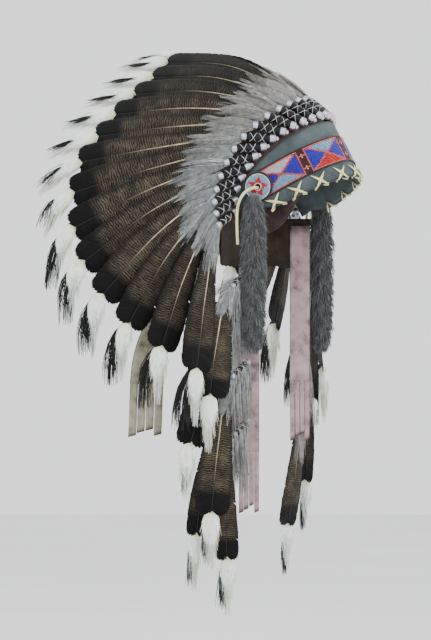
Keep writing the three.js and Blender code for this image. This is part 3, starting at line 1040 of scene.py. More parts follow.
def trailer_line(start: list, end: list, width: float, tip_size: float) -> FeatherLine:
    """Where a trailer feather runs on the wearer's right.

    Args:
        start: Start of the quill at the strap.
        end: Tip of the vane.
        width: Width as a share of the usual one.
        tip_size: Length of the fluff as a share of the usual one.

    Returns:
        The feather's line.
    """
    start, end = np.array(start, float), np.array(end, float)
    quill_end = start + QUILL_LENGTH * QUILL_OUT
    middle = (quill_end + end) / 2 + [-TRAILER_BOW, 0, 0]
    spine = Spine(np.array([start, quill_end, middle, end]))
    sideways = np.cross(TRAILER_FACE, spine.tangent(np.linspace(0, 1, LINE_SAMPLES)))
    return FeatherLine(spine, sideways, spread=width, lock=60, lock_length=66.0,
                       lean=(-2.0, 4.0, 0.0), plume_from=0.1, light=1.15, tip_size=tip_size,
                       veil=True)


@dataclass
class Feather:
    """One dressed feather: wrapped quill, grey plume, barred vane, white fluff, horsehair.

    Sizes are in millimetres, and places along it are shares of the spine.
    """

    line: FeatherLine
    seed: int
    barbs: int = 54
    vane_from: float = 0.30
    vane_to: float = 0.998
    round_from: float = 0.87
    half_width: float = 23.0
    sweep: float = 0.062
    barb_stations: tuple = (0, 0.2, 0.45, 0.68, 0.86, 1.0)
    parted: float = 0.04
    overlap: float = 0.0018
    curve: float = 0.12
    wrap_end: float = 0.172
    wrap_radius: float = 5.2
    wrap_sides: int = 14
    cross_places: tuple = (0.062, 0.108)
    cross_half_length: float = 4.5
    cross_turn: float = 80.0
    fluff_lead: float = 14.0
    fluff_hang: float = 32.0
    fluff_hairs: int = 240
    plume_hairs: int = 265
    plume_tufts: int = 24
    veil_hairs: int = 270
    veil_tufts: int = 30
    hair_radius: float = 0.62
    rng: np.random.Generator = field(init=False)
    shade: float = field(init=False)
    fluff_size: float = field(init=False)

    def __post_init__(self) -> None:
        """Seeds this feather's own chance, shade and fluff."""
        self.rng = np.random.default_rng(self.seed)
        self.shade = self.rng.uniform(0.75, 1.15)
        self.fluff_size = self.rng.uniform(0.9, 1.08)

    def vane_half(self, share: Array) -> Array:
        """Half the vane's width at a barb's root: full at the middle, round at the tip.

        Args:
            share: Shares of the spine.

        Returns:
            Half widths in millimetres.
        """
        tip = np.clip((share - self.round_from) / (1 - self.round_from), 0, 1)
        return (self.half_width * self.line.spread * profile(share, VANE_ROWS)
                * np.sqrt(1 - tip**2.2))

    def vane(self) -> Skin:
        """The vane as closed clumps of barbs on both sides of the shaft.

        Formula: a clump's barb from share s reaches share s + sweep v and v times the half
        width across, for v from 0 to 1. Clumps overlap a little, a few of them part from a
        chosen v on, and the vane curves away by a share of its half width at the edge.

        Returns:
            The vane's skin.
        """
        v = np.array(self.barb_stations)[None, :]
        full = self.half_width * self.line.spread
        skins = []
        for side in (-1.0, 1.0):
            edges = np.linspace(self.vane_from, self.vane_to, self.barbs + 1)
            edges = edges + self.rng.normal(0, 0.001, edges.shape)
            open_here = (self.rng.random(edges.shape) < self.parted) & (edges < 0.84)
            split = np.where(open_here, self.rng.uniform(0.004, 0.008, edges.shape), 0.0)
            start = self.rng.uniform(0.68, 0.88, edges.shape)
            opened = np.clip((v - start[:, None]) / (1 - start[:, None]), 0, 1) * split[:, None]
            opened = opened - self.overlap * np.minimum(8 * v, 1)
            low = edges[:-1, None] + opened[:-1]
            high = edges[1:, None] - opened[1:]
            middle = (edges[:-1] + edges[1:]) / 2
            reach = self.vane_half(middle) * (1 + self.rng.normal(0, 0.012, self.barbs))
            sweep = self.sweep * ((self.vane_half(middle) / full)[:, None] ** 2) * v**0.9
            lift = self.rng.normal(0, 0.1, self.barbs)[:, None] * v**2
            bend = 0.4 - self.curve * reach[:, None] * v**2 + lift
            half = 0.28 - 0.14 * v
            rise = np.stack([bend - half, bend + half, bend + half, bend - half], -1)
            share = np.stack([low + sweep, low + sweep, high + sweep, high + sweep], -1)
            out = side * (0.05 + reach[:, None, None] * v[..., None]) + np.zeros_like(share)
            rings = self.line.at(share, out, rise)
            uv = np.stack([share, 0.5 + 0.5 * side * v[..., None] + np.zeros_like(share)], -1)
            slow = np.interp(middle, np.linspace(0.3, 1, 9), self.rng.uniform(0.72, 1.0, 9))
            shade = slow * self.shade * self.line.light * self.rng.uniform(0.9, 1, self.barbs)
            tint = np.stack([shade, shade, shade, np.ones(self.barbs)], -1)[:, None, None]
            if side > 0:
                rings, uv = rings[:, :, ::-1], uv[:, :, ::-1]
            skins.append(tubes(rings, uv, tint))
        return joined(skins)

    def shaft(self) -> Skin:
        """The shaft: a tapered round line from the quill to the tip, proud of both faces.

        Returns:
            The shaft's skin.
        """
        share = np.linspace(self.wrap_end, 0.99, 16)
        line = self.line.at(share, 0 * share, 0 * share + 0.5)[None]
        radius = profile(share, SHAFT_ROWS)
        blend = smoothstep(share + self.rng.uniform(-0.08, 0.08), 0.42, 0.8)[:, None]
        tint = linear(SHAFT_ROOT) * (1 - blend) + linear(SHAFT_TIP) * blend
        tint[:, :3] *= self.line.light**0.5
        skin = tubes(round_rings(line, radius[None], 6), (0, 0), tint[None, :, None])
        return skin.with_slot(Part.SHAFT)

    def ways(self) -> tuple[Array, Array]:
        """The spine's direction at the tip, and the one in which fluff and hair fall."""
        onward = self.line.spine.tangent(1.0)
        return onward, unit(onward * (1 - self.line.hang) + DOWN * self.line.hang)

    def fluff(self) -> Skin:
        """White down: fine barbs off a bent line, round a soft core.

        Formula: a barb leaves the line at share t and ends at t + 0.45 to t + 0.85, moved out
        by the fluff's radius times a random share, in a random direction round the line.

        Returns:
            The hairs and the core as one skin.
        """
        onward, fall = self.ways()
        tip = self.line.spine.at(1.0)
        knee = tip + self.fluff_lead * self.line.tip_size * onward
        end = knee + self.fluff_hang * self.line.tip_size * fall
        count = self.fluff_hairs

        def on_line(t: Array) -> Array:
            """Points of the bent line at shares t."""
            t = t[:, None]
            return (1 - t) ** 2 * tip + 2 * t * (1 - t) * knee + t**2 * end

        _, across, through = self.line.axes(1.0)
        size = min(1.0, self.line.spread + 0.15) * self.fluff_size
        root = self.rng.uniform(-0.14, 0.6, count)
        stop = np.minimum(root + self.rng.uniform(0.45, 0.85, count), 1.32)
        turn = self.rng.uniform(0, 2 * np.pi, count)
        out = np.cos(turn)[:, None] * across + 0.66 * np.sin(turn)[:, None] * through
        reach = size * profile(stop, FLUFF_ROWS) * self.rng.uniform(0.5, 1.12, count)
        target = on_line(stop) + out * reach[:, None] + DOWN * 2.0
        bend = on_line((root + stop) / 2) + out * (0.8 * reach)[:, None]
        tint = tint_of(WHITE_DOWN, count, self.rng, 0.05)
        # Strands near the tie, and a random fifth of all strands, turn cream: partly the down's own
        # colour, partly painted shade within the fluff.
        cream_and_shade = np.clip(0.9 - 1.6 * root, 0, 1) * self.rng.uniform(0.2, 1, count)
        cream_and_shade = np.maximum(cream_and_shade, (self.rng.random(count) < 0.2) * 0.7)
        tint[:, :3] *= 1 - cream_and_shade[:, None] * CREAM_AND_SHADE_LOSS
        hairs = strands(on_line(root) + out * 1.2, bend, target, self.hair_radius, tint, 4, 0.28)
        t = np.linspace(-0.06, 0.98, len(FLUFF_CORE))
        radius = 0.78 * size * profile(t, FLUFF_ROWS) * FLUFF_CORE
        lines = on_line(t)[None]
        # The core turns cream towards the tie: partly the down's own colour, partly painted shade.
        tied_cream_and_shade = np.clip(1 - 2.6 * (t + 0.06), 0, 1)[:, None] * [0.22, 0.22, 0.52, 0]
        tints = (1 - tied_cream_and_shade) * linear(WHITE_CORE)
        core = tubes(round_rings(lines, radius[None], 12, np.broadcast_to(across, lines.shape),
                                 0.66), (0.2, 0), tints[None, :, None])
        return joined([hairs, core]).with_slot(Part.FLUFF)

    def plume(self) -> Skin:
        """Grey down over the vane's base: pointed tufts of barbs round a flat pointed core.

        Formula: each barb belongs to a tuft. Barbs start spread out along the quill, and all
        but a fifth of their spread is gone where they end.

        Returns:
            The barbs and the core as one skin.
        """
        count, tufts = self.plume_hairs, self.plume_tufts
        wide = self.line.spread**0.5
        first = self.line.plume_from
        of_tuft = self.rng.integers(0, tufts, count)
        begin = self.rng.uniform(first, 0.33, tufts)
        reach = self.rng.uniform(0.09, 0.17, tufts)
        turned, lifted = self.rng.uniform(-1, 1, tufts), self.rng.uniform(-0.7, 1.0, tufts)
        shade = self.rng.uniform(0.42, 1.5, tufts)
        root = np.clip(begin[of_tuft] + self.rng.normal(0, 0.014, count), first, 0.36)
        stop = (begin + reach)[of_tuft] + self.rng.normal(0, 0.008, count)
        loose = self.rng.normal(0, 0.3, count)
        turn, lift = turned[of_tuft], lifted[of_tuft] + self.rng.normal(0, 0.2, count)
        width = profile(stop, PLUME_ROWS) * wide
        start = self.line.at(root, 4.4 * (turn + loose), 2.8 * lift)
        knee = self.line.at((root + stop) / 2, 0.9 * width * (turn + 0.6 * loose), 5.4 * lift)
        end = self.line.at(stop, width * (turn + 0.2 * loose), 3.8 * lift + 0.8)
        tint = tint_of(self.line.plume, count, self.rng, 0.22)
        tint[:, :3] *= shade[of_tuft][:, None]
        hairs = strands(start, knee, end, self.hair_radius, tint, 4, 0.2)
        share = np.linspace(first - 0.005, 0.42, len(PLUME_CORE))
        radius = np.array(PLUME_CORE) * wide
        lines = self.line.at(share, 0 * share, 0 * share + 0.8)[None]
        _, across, _ = self.line.axes(share)
        # The core is half as bright as the barbs: painted shade in the plume's depth under them.
        core = tubes(round_rings(lines, radius[None], 10, across[None], 0.34), (0.2, 0),
                     tint_of(self.line.plume, 1, self.rng, 0.1)[0] * [0.5, 0.5, 0.5, 1])
        return joined([hairs, core]).with_slot(Part.PLUME)

    def veil(self) -> Skin:
        """Long grey down that hangs from the outer half of a trailer's quill.

        Formula: a strand starts on the quill and falls 30 to 84 mm, and its end strays by
        about 3 mm towards its tuft.

        Returns:
            The strands as one skin.
        """
        count, tufts = self.veil_hairs, self.veil_tufts
        of_tuft = self.rng.integers(0, tufts, count)
        root = self.rng.uniform(0.01, 0.2, tufts)[of_tuft] + self.rng.normal(0, 0.012, count)
        start = self.line.at(np.clip(root, 0.0, 0.22), self.rng.uniform(-3, 3, count),
                             self.rng.uniform(2, 5, count))
        fall = self.rng.uniform(30, 84, tufts)[of_tuft] * self.rng.uniform(0.85, 1.05, count)
        stray = self.rng.normal(0, 3.2, (tufts, 3))[of_tuft] * [1, 1, 0]
        loose = self.rng.normal(0, 1.8, (count, 3)) * [1, 1, 0]
        knee = start + np.outer(0.45 * fall, DOWN) + 1.4 * loose + 0.5 * stray + [-4, 0, 0]
        tint = tint_of(self.line.plume, count, self.rng, 0.25)
        tint[:, :3] *= self.rng.uniform(0.6, 1.25, tufts)[of_tuft][:, None]
        end = start + np.outer(fall, DOWN) + stray + 0.3 * loose
        return strands(start, knee, end, 0.75, tint, 4, 0.2).with_slot(Part.PLUME)

    def wrap(self) -> Skin:
        """The wrapped quill: a black tube, a silver band near each end, and a small knob.

        Returns:
            The wrap, bands, knob and crosses as one skin.
        """
        stations, radius = np.array(WRAP_ROWS).T
        radius = self.wrap_radius * radius
        lines = self.line.spine.at(stations)[None]
        uv = np.zeros((1, len(stations), 1, 2))
        uv[..., 0] = (stations / self.wrap_end)[None, :, None]
        skin = tubes(round_rings(lines, radius[None], self.wrap_sides), uv)
        row = np.arange(len(skin.quads)) // self.wrap_sides
        banded = (row < WRAP_BLACK[0]) | (row >= WRAP_BLACK[1])
        skin = skin.with_slots(np.where(banded, Part.SILVER, Part.WRAP), Part.SILVER)
        knob_at, knob_radius = np.array(KNOB_ROWS).T
        knob_rings = round_rings(self.line.spine.at(knob_at)[None], knob_radius[None], 8)
        knob = tubes(knob_rings, (0, 0), linear(KNOB)).with_slot(Part.SHAFT)
        return joined([skin, knob, *self.crosses()])

    def crosses(self) -> list[Skin]:
        """Two crosses of pale thread on the wrap's outer side.

        Formula: a thread runs along the wrap while it turns from one side to the other round
        it, and a second one turns back.

        Returns:
            A skin for each thread.
        """
        length = self.line.spine.length
        t = np.linspace(-1, 1, 7)
        skins = []
        for middle in self.cross_places:
            for way in (-1.0, 1.0):
                share = middle + way * t * self.cross_half_length / length
                turn = np.radians(self.cross_turn) * t
                radius = self.wrap_radius + 0.25
                line = self.line.at(share, radius * np.sin(turn), radius * np.cos(turn))[None]
                skins.append(tubes(round_rings(line, np.full((1, 7), 0.3), 4), (0, 0),
                                   linear(THREAD)).with_slot(Part.SHAFT))
        return skins

    def hair(self) -> Skin:
        """A flat lock of dark horsehair that hangs beside the fluff, ragged at its end.

        Returns:
            The strands as one skin.
        """
        count = self.line.lock
        lean = np.array(self.line.lean)
        aside = self.rng.uniform(-1, 1, count)
        root = (self.line.spine.at(np.full(count, 0.985)) + self.rng.normal(0, 0.9, (count, 3))
                + np.outer(0.5 + 0.4 * aside, lean) * 0.6)
        drop = self.line.lock_length * self.rng.uniform(0.5, 1.0, count) ** 0.7
        sway = self.rng.normal(0, 1.6, (count, 3)) * [1, 1, 0]
        onward, fall = self.ways()
        end = root + np.outer(drop, fall) + sway + np.outer(1.15 + 0.4 * aside, lean)
        knee = (root + onward * 8 + np.outer(drop * 0.3, fall) + sway * 0.4
                + np.outer(1.25 + 0.45 * aside, lean))
        tint = tint_of(HORSEHAIR, count, self.rng, 0.45)
        return strands(root, knee, end, 0.52, tint, 5, 0.45).with_slot(Part.HAIR)

    def build(self) -> Skin:
        """All of the feather as one skin.

        Returns:
            The feather's skin.
        """
        parts = [self.vane(), self.shaft(), self.fluff(), self.plume(), self.wrap()]
        parts += [self.hair()] if self.line.lock else []
        return joined(parts + ([self.veil()] if self.line.veil else []))


@dataclass
class FeatherFan:
    """The fan: the feather at the middle of the brow and thirteen on each side."""

    seed: int = 100

    def build(self, shop: Workshop) -> None:
        """Makes and dresses every feather of the fan.

        Args:
            shop: Makes the pieces.
        """
        shop.dress("fan_feather_middle", Feather(fan_line(0), self.seed).build(),
                   FEATHER_FINISHES, "feather")
        for side in Side:
            for number in range(1, SIDE_FEATHERS + 1):
                name = f"fan_feather_{side.value}_{number:02d}"
                seed = self.seed + number + (50 if side.flip else 0)
                shop.dress(name, Feather(fan_line(number), seed).build(), FEATHER_FINISHES,
                           "feather", side.flip)


@dataclass
class Trailers:
    """The short trailer of feathers that hangs from the strap behind each ear."""

    seed: int = 300
    barbs: int = 34

    def build(self, shop: Workshop) -> None:
        """Makes and dresses every feather of both trailers.

        Args:
            shop: Makes the pieces.
        """
        for side, rows, tip_size in ((Side.RIGHT, RIGHT_TRAILER, 1.0),
                                     (Side.LEFT, LEFT_TRAILER, 0.72)):
            for i, (start, end, width) in enumerate(rows):
                name = f"trailer_feather_{side.value}_{i + 1}"
                seed = self.seed + i + (50 if side.flip else 0)
                line = trailer_line(start, end, width, tip_size)
                shop.dress(name, Feather(line, seed, barbs=self.barbs).build(),
                           FEATHER_FINISHES, "feather", side.flip)


# ---------------------------------------------------------------- band, beads and lacing


@dataclass
class BrowBand:
    """Suede band round the brow, with its lacing of crossed hide strips."""

    wall: float = 3.0
    height: float = 67.0
    low: float = 11.0
    low_fade: tuple = (74.0, 91.0)
    drop: float = 36.0
    end: float = 98.0
    lacing_angles: tuple = (0.0, 19.5, 40.0, 58.5, 75.5)
    lace_half_height: float = 9.5
    lace_half_width: float = 10.0
    lace_lift: float = 6.0
    lace_leans: tuple = (-42.0, 40.0)
    seed: int = 700

    def top(self, degrees: Array) -> Array:
        """Height of the upper edge: it falls by the 2.6th power of the angle."""
        return self.height - self.drop * (np.abs(degrees) / self.end) ** 2.6

    def bottom(self, degrees: Array) -> Array:
        """Height of the lower edge: it comes up to the ring's plane by the ears."""
        return self.low * (smoothstep(np.abs(degrees), *self.low_fade) - 1)

    def band(self) -> Skin:
        """The band as a closed sheet.

        Formula: the ring's wall between its lower and upper edges, with both edges waved by
        half a millimetre and the faces puckered a little at each lace.

        Returns:
            The band's skin.
        """
        degrees = np.linspace(-self.end, self.end, 141)[:, None]
        share = np.linspace(0, 1, 11)[None, :]
        pucker = sum(np.exp(-((np.abs(degrees) - a) / 3.5) ** 2) for a in self.lacing_angles)
        low = self.bottom(degrees) + 0.9 * pucker + 0.4 * np.sin(np.radians(degrees * 23))
        lift = low + (self.top(degrees) - low - 0.4) * share
        dent = -0.6 * pucker * (1 - share) + 0.15 * np.sin(np.radians(degrees * 31) + 5 * share)
        outer = ring_point(degrees, lift, -0.15 + dent * 0.6)
        inner = ring_point(degrees, lift, -self.wall + 0.15 + dent * 0.6)
        return closed_sheet(outer, inner)

    def lacing(self) -> Skin:
        """Crossed strips of hide sewn over the lower edge.

        Formula: each strip runs from one corner of a star to the opposite one, widest at the
        crossing, and bulges away from the band; a loop goes round the lower edge.

        Returns:
            All the strips as one skin.
        """
        t = np.linspace(-1, 1, 9)
        skins = []
        angles = [a * s for a in self.lacing_angles for s in (-1, 1)][1:]
        for number, middle in enumerate(angles):
            chance = np.random.default_rng(self.seed + number)
            here = ring_point(middle, 0, 0)
            pitch = np.linalg.norm(ring_point(middle + 1, 0, 0) - here)
            for k, lean in enumerate(self.lace_leans + chance.normal(0, 6, 2)):
                tall = self.lace_half_height * chance.uniform(0.85, 1.1)
                side = self.lace_half_width * np.sin(np.radians(lean)) * 1.55
                edge = float(self.bottom(np.array(middle)))
                lift = edge + self.lace_lift + tall * t
                degrees = middle + side * t / pitch
                out = 0.9 + 0.7 * (1 - t**2) + 0.5 * k
                outside = ring_point(degrees, np.maximum(lift, edge - 1.0), out)
                inside = ring_point(np.linspace(middle - side / pitch, middle, 4),
                                    edge + np.array([-1.9, -0.5, 4.0, 9.0]),
                                    np.array([-1.5, -3.6, -4.3, -3.9]))
                line = np.vstack([inside[::-1], outside])[None]
                radius = np.concatenate([[0.5, 1.2, 1.5, 1.5], 0.3 + 1.9 * (1 - np.abs(t) ** 1.3)])
                out_way = np.cross(np.gradient(line, axis=1), unit(ring_point(middle, 0, 1) - here))
                skins.append(tubes(round_rings(line, radius[None], 6, out_way, 0.45)))
        return joined(skins)

    def build(self, shop: Workshop) -> None:
        """Makes the band and its lacing."""
        shop.dress("brow_band", self.band(), [SLATE], "slate_suede")
        shop.piece("edge_lacing", self.lacing(), [LACE], "cream_hide")


class BeadColour(Enum):
    """Colours of the seed beads."""

    BLACK = (20, 16, 20)
    MAROON = (70, 12, 16)
    CORAL = (240, 112, 92)
    ROYAL = (28, 30, 205)
    SKY = (140, 200, 236)
    RED = (222, 40, 22)
    WHITE = (240, 228, 238)
    CREAM = (236, 230, 196)


def bead_tints(names: Array) -> Array:
    """Rows of four linear numbers for an array of bead colours."""
    table = {colour: linear(colour.value) for colour in BeadColour}
    return np.array([table[name] for name in names.ravel()])


@dataclass
class BeadStrip:
    """Beaded strip: rows of glass beads on a dark backing, in panels of triangles."""

    end: float = 80.0
    wall: float = 1.7
    height: float = 36.0
    lift: float = 28.0
    fall: float = 6.0
    columns: int = 147
    rows: int = 20
    panels: tuple = ((5.0, 42.0), (47.0, 80.0))
    seed: int = 41

    def middle(self, degrees: Array) -> Array:
        """Height of the strip's middle line."""
        return self.lift - self.fall * np.abs(degrees) / self.end

    def backing(self) -> Skin:
        """The backing as a closed sheet under the beads.

        Returns:
            The backing's skin.
        """
        degrees = np.linspace(-self.end, self.end, 121)[:, None]
        lift = self.middle(degrees) + self.height * np.linspace(-0.5, 0.5, 5)[None, :]
        return closed_sheet(ring_point(degrees, lift, 1.1), ring_point(degrees, lift, 0.45))

    def colours(self, degrees: Array, share: Array) -> Array:
        """Colour of each bead.

        Formula: a panel is a box of x and y from -1 to 1 with a coral outline and two coral
        diagonals; the triangle where |y| > |x| is the upper or lower one. Between the panels
        the beads are maroon, with two small crosses.

        Args:
            degrees: Angle of each bead from the brow.
            share: Height of each bead from -1 to 1.

        Returns:
            One row of four for each bead.
        """
        away = np.abs(degrees)
        names = np.full(degrees.shape, BeadColour.MAROON, dtype=object)
        for number, (low, high) in enumerate(self.panels):
            x = (away - (low + high) / 2) / ((high - low) / 2)
            inside = np.abs(x) <= 1
            above, beside = np.abs(share) >= np.abs(x), np.abs(share) < np.abs(x)
            upper = BeadColour.WHITE if number else BeadColour.SKY
            lower = BeadColour.SKY if number else BeadColour.RED
            names[inside & above & (share > 0)] = upper
            names[inside & above & (share <= 0)] = lower
            names[inside & beside] = BeadColour.ROYAL
            line = np.abs(np.abs(x) - np.abs(share)) < 0.075
            rim = (np.abs(x) > 0.925) | (np.abs(share) > 0.84)
            names[inside & (line | rim)] = BeadColour.CORAL
        spacers = [0.0] + [(a[1] + b[0]) / 2 for a, b in zip(self.panels, self.panels[1:])]
        for middle in spacers:
            for height in (-0.45, 0.45):
                x, y = np.abs(away - middle), np.abs(share - height)
                names[(x < 0.6) & (y < 0.18)] = BeadColour.CREAM
                names[(x < 2.3) & (y < 0.06)] = BeadColour.CORAL
        names[np.abs(share) > 0.97] = BeadColour.BLACK
        return bead_tints(names)

    def beads(self) -> Skin:
        """Every bead of the strip, as short round tubes lying along their rows.

        Returns:
            The beads as one skin.
        """
        chance = np.random.default_rng(self.seed)
        degrees, share = np.meshgrid(np.linspace(-self.end + 0.6, self.end - 0.6, self.columns),
                                     np.linspace(-1, 1, self.rows), indexing="ij")
        tint = self.colours(degrees, share)
        shade = chance.uniform(0.88, 1.06, (tint.shape[0], 1))
        tint[:, :3] = np.clip(tint[:, :3] * shade, 0, 1)
        degrees = degrees + chance.normal(0, 0.05, degrees.shape)
        lift = self.middle(degrees) + share * (self.height / 2 - 0.9)
        lift = lift + chance.normal(0, 0.06, lift.shape)
        centre = ring_point(degrees, lift, 1.25).reshape(-1, 3)
        along = unit(ring_point(degrees + 0.5, lift, 1.25).reshape(-1, 3) - centre)
        return bead_tubes(centre, along, 0.82, 0.78, tint)

    def build(self, shop: Workshop) -> None:
        """Makes the strip."""
        skin = joined([self.backing(), self.beads().with_slot(1)])
        shop.dress("bead_strip", skin, [MAROON, BEADS], "beadwork")


def bead_tubes(centre: Array, along: Array, half: float, radius: float,
               tint: Array) -> Skin:
    """Round beads with flattened ends.

    Formula: four rings at -1, -0.5, 0.5 and 1 half lengths, with radii 0.55, 1, 1 and 0.55.

    Args:
        centre: Middle of each bead.
        along: Direction of its hole.
        half: Half its length.
        radius: Its radius.
        tint: One row of four for each bead.

    Returns:
        One skin.
    """
    place = np.array([-1.0, -0.5, 0.5, 1.0]) * half
    lines = centre[:, None] + place[None, :, None] * along[:, None]
    rings = round_rings(lines, radius * np.array([[0.55, 1.0, 1.0, 0.55]]), 6)
    return tubes(rings, (0, 0), tint[:, None, None, :])


@dataclass
class Rosette:
    """Round beaded rosette with a five-point star, sewn at the temple."""

    side: Side
    radius: float = 19.5
    angle: float = 81.0
    lift: float = 22.0
    back: float = 2.5
    pitch: float = 1.62
    star_reach: float = 13.6
    star_half_angle: float = 0.48
    eye: tuple = ((4.6, BeadColour.WHITE), (3.0, BeadColour.BLACK))
    seed: int = 52
    border: tuple = ((15.4, BeadColour.WHITE), (17.3, BeadColour.BLACK))

    def axes(self) -> tuple[Array, Array, Array, Array]:
        """Centre of the back, and the directions along the band, up it and out of it.

        Returns:
            One point and three directions.
        """
        centre = ring_point(self.angle, self.lift, self.back)
        along = unit(ring_point(self.angle - 1, self.lift, 0.0)
                     - ring_point(self.angle + 1, self.lift, 0.0))
        up = band_frame(0.0, 0.0, 1.0)
        return centre, along, up, -np.cross(up, along)

    def backing(self) -> Skin:
        """The hide disc under the beads, with a rounded edge.

        Returns:
            The disc's skin.
        """
        centre, _, up, out = self.axes()
        place = np.array([0.05, 0.3, 1.4, 1.9, 2.0])
        line = (centre + place[:, None] * out)[None]
        radius = self.radius * np.array([[0.94, 0.985, 0.985, 0.9, 0.2]])
        rings = round_rings(line, radius, 40, np.broadcast_to(up, line.shape))
        return tubes(rings, (0.5, 0.5))

    def beads(self) -> Skin:
        """Rings of beads, coloured by radius and by the star's outline.

        Formula: at an angle d from the nearest of its five points, the star's edge is at
        reach sin(h) / sin(pi - h - d), where h is half the angle of a point.

        Returns:
            The beads as one skin.
        """
        centre, along, up, out = self.axes()
        chance = np.random.default_rng(self.seed)
        radii = np.arange(1.2, self.radius - 0.6, self.pitch)
        counts = np.round(2 * np.pi * radii / self.pitch).astype(int)
        radius = np.repeat(radii, counts)
        turn = np.concatenate([2 * np.pi * (np.arange(c) / c) + 0.3 * k
                               for k, c in enumerate(counts)])
        fifth = 2 * np.pi / 5
        off = np.abs((turn + np.pi / 2 + fifth / 2) % fifth - fifth / 2)
        half = self.star_half_angle
        reach = self.star_reach * np.sin(half) / np.sin(np.pi - half - off)
        names = np.full(radius.shape, BeadColour.SKY, dtype=object)
        names[radius < reach] = BeadColour.RED
        for size, colour in self.eye:
            names[radius < size] = colour
        for size, colour in self.border:
            names[radius > size] = colour
        tint = bead_tints(names)
        tint[:, :3] *= chance.uniform(0.9, 1.0, (len(tint), 1))
        spoke = np.cos(turn)[:, None] * along + np.sin(turn)[:, None] * up
        round_way = -np.sin(turn)[:, None] * along + np.cos(turn)[:, None] * up
        dome = 2.25 - 0.5 * (radius / self.radius) ** 4
        middle = centre + radius[:, None] * spoke + dome[:, None] * out
        return bead_tubes(middle, round_way, 0.76, 0.8, tint)

    def build(self, shop: Workshop) -> None:
        """Makes the rosette.

        Args:
            shop: Makes the piece.
        """
        skin = joined([self.backing(), self.beads().with_slot(1)])
        shop.dress(f"rosette_{self.side.value}", skin, [BROWN, BEADS], "rosette_beads",
                   self.side.flip)


# ---------------------------------------------------------------- cap, suede and fur


@dataclass
class SkullCap:
    """Felt cap under the feathers."""

    wall: float = 2.4
    equator: float = 40.0
    top: float = 145.0
    front_rim: float = 34.0

    def ring(self, inset: float) -> Array:
        """One face of the felt as rings from the rim to beside the crown.

        Formula: a straight wall from the rim to the equator, then a quarter ellipse; the rim
        is high behind the band and falls to the ring's plane at the nape.

        Args:
            inset: How far the face lies inside the outer one.

        Returns:
            Array of rings, points and x, y, z.
        """
        degrees = 180 - 360 * np.arange(96) / 96
        rim = self.front_rim * (1 - smoothstep(np.abs(degrees), 75, 120))
        share = np.concatenate([[-1.0, -0.5], np.linspace(0, 0.985, 22)])[:, None]
        rise = np.clip(share, 0, 1) * np.pi / 2
        dome = self.equator + (self.top - inset - self.equator) * np.sin(rise)
        below = rim + (self.equator - rim) * (1 + share)
        up = np.where(share < 0, below, dome)
        angle = np.radians(degrees)[None]
        side = -(CAP_HALF_WIDTH - inset) * np.cos(rise) * np.sin(angle)
        forward = (CAP_HALF_DEPTH - inset) * np.cos(rise) * np.cos(angle)
        return band_frame(side, forward, up)

    def build(self, shop: Workshop) -> None:
        """Makes the cap with one skin outside and one inside, joined at the rim."""
        rings = np.concatenate([self.ring(self.wall)[::-1], self.ring(0.0)])[None]
        # The felt's colour is darkened into painted shade.
        shop.dress("skull_cap", tubes(rings, (0.5, 0.5)), [FELT], "felt")


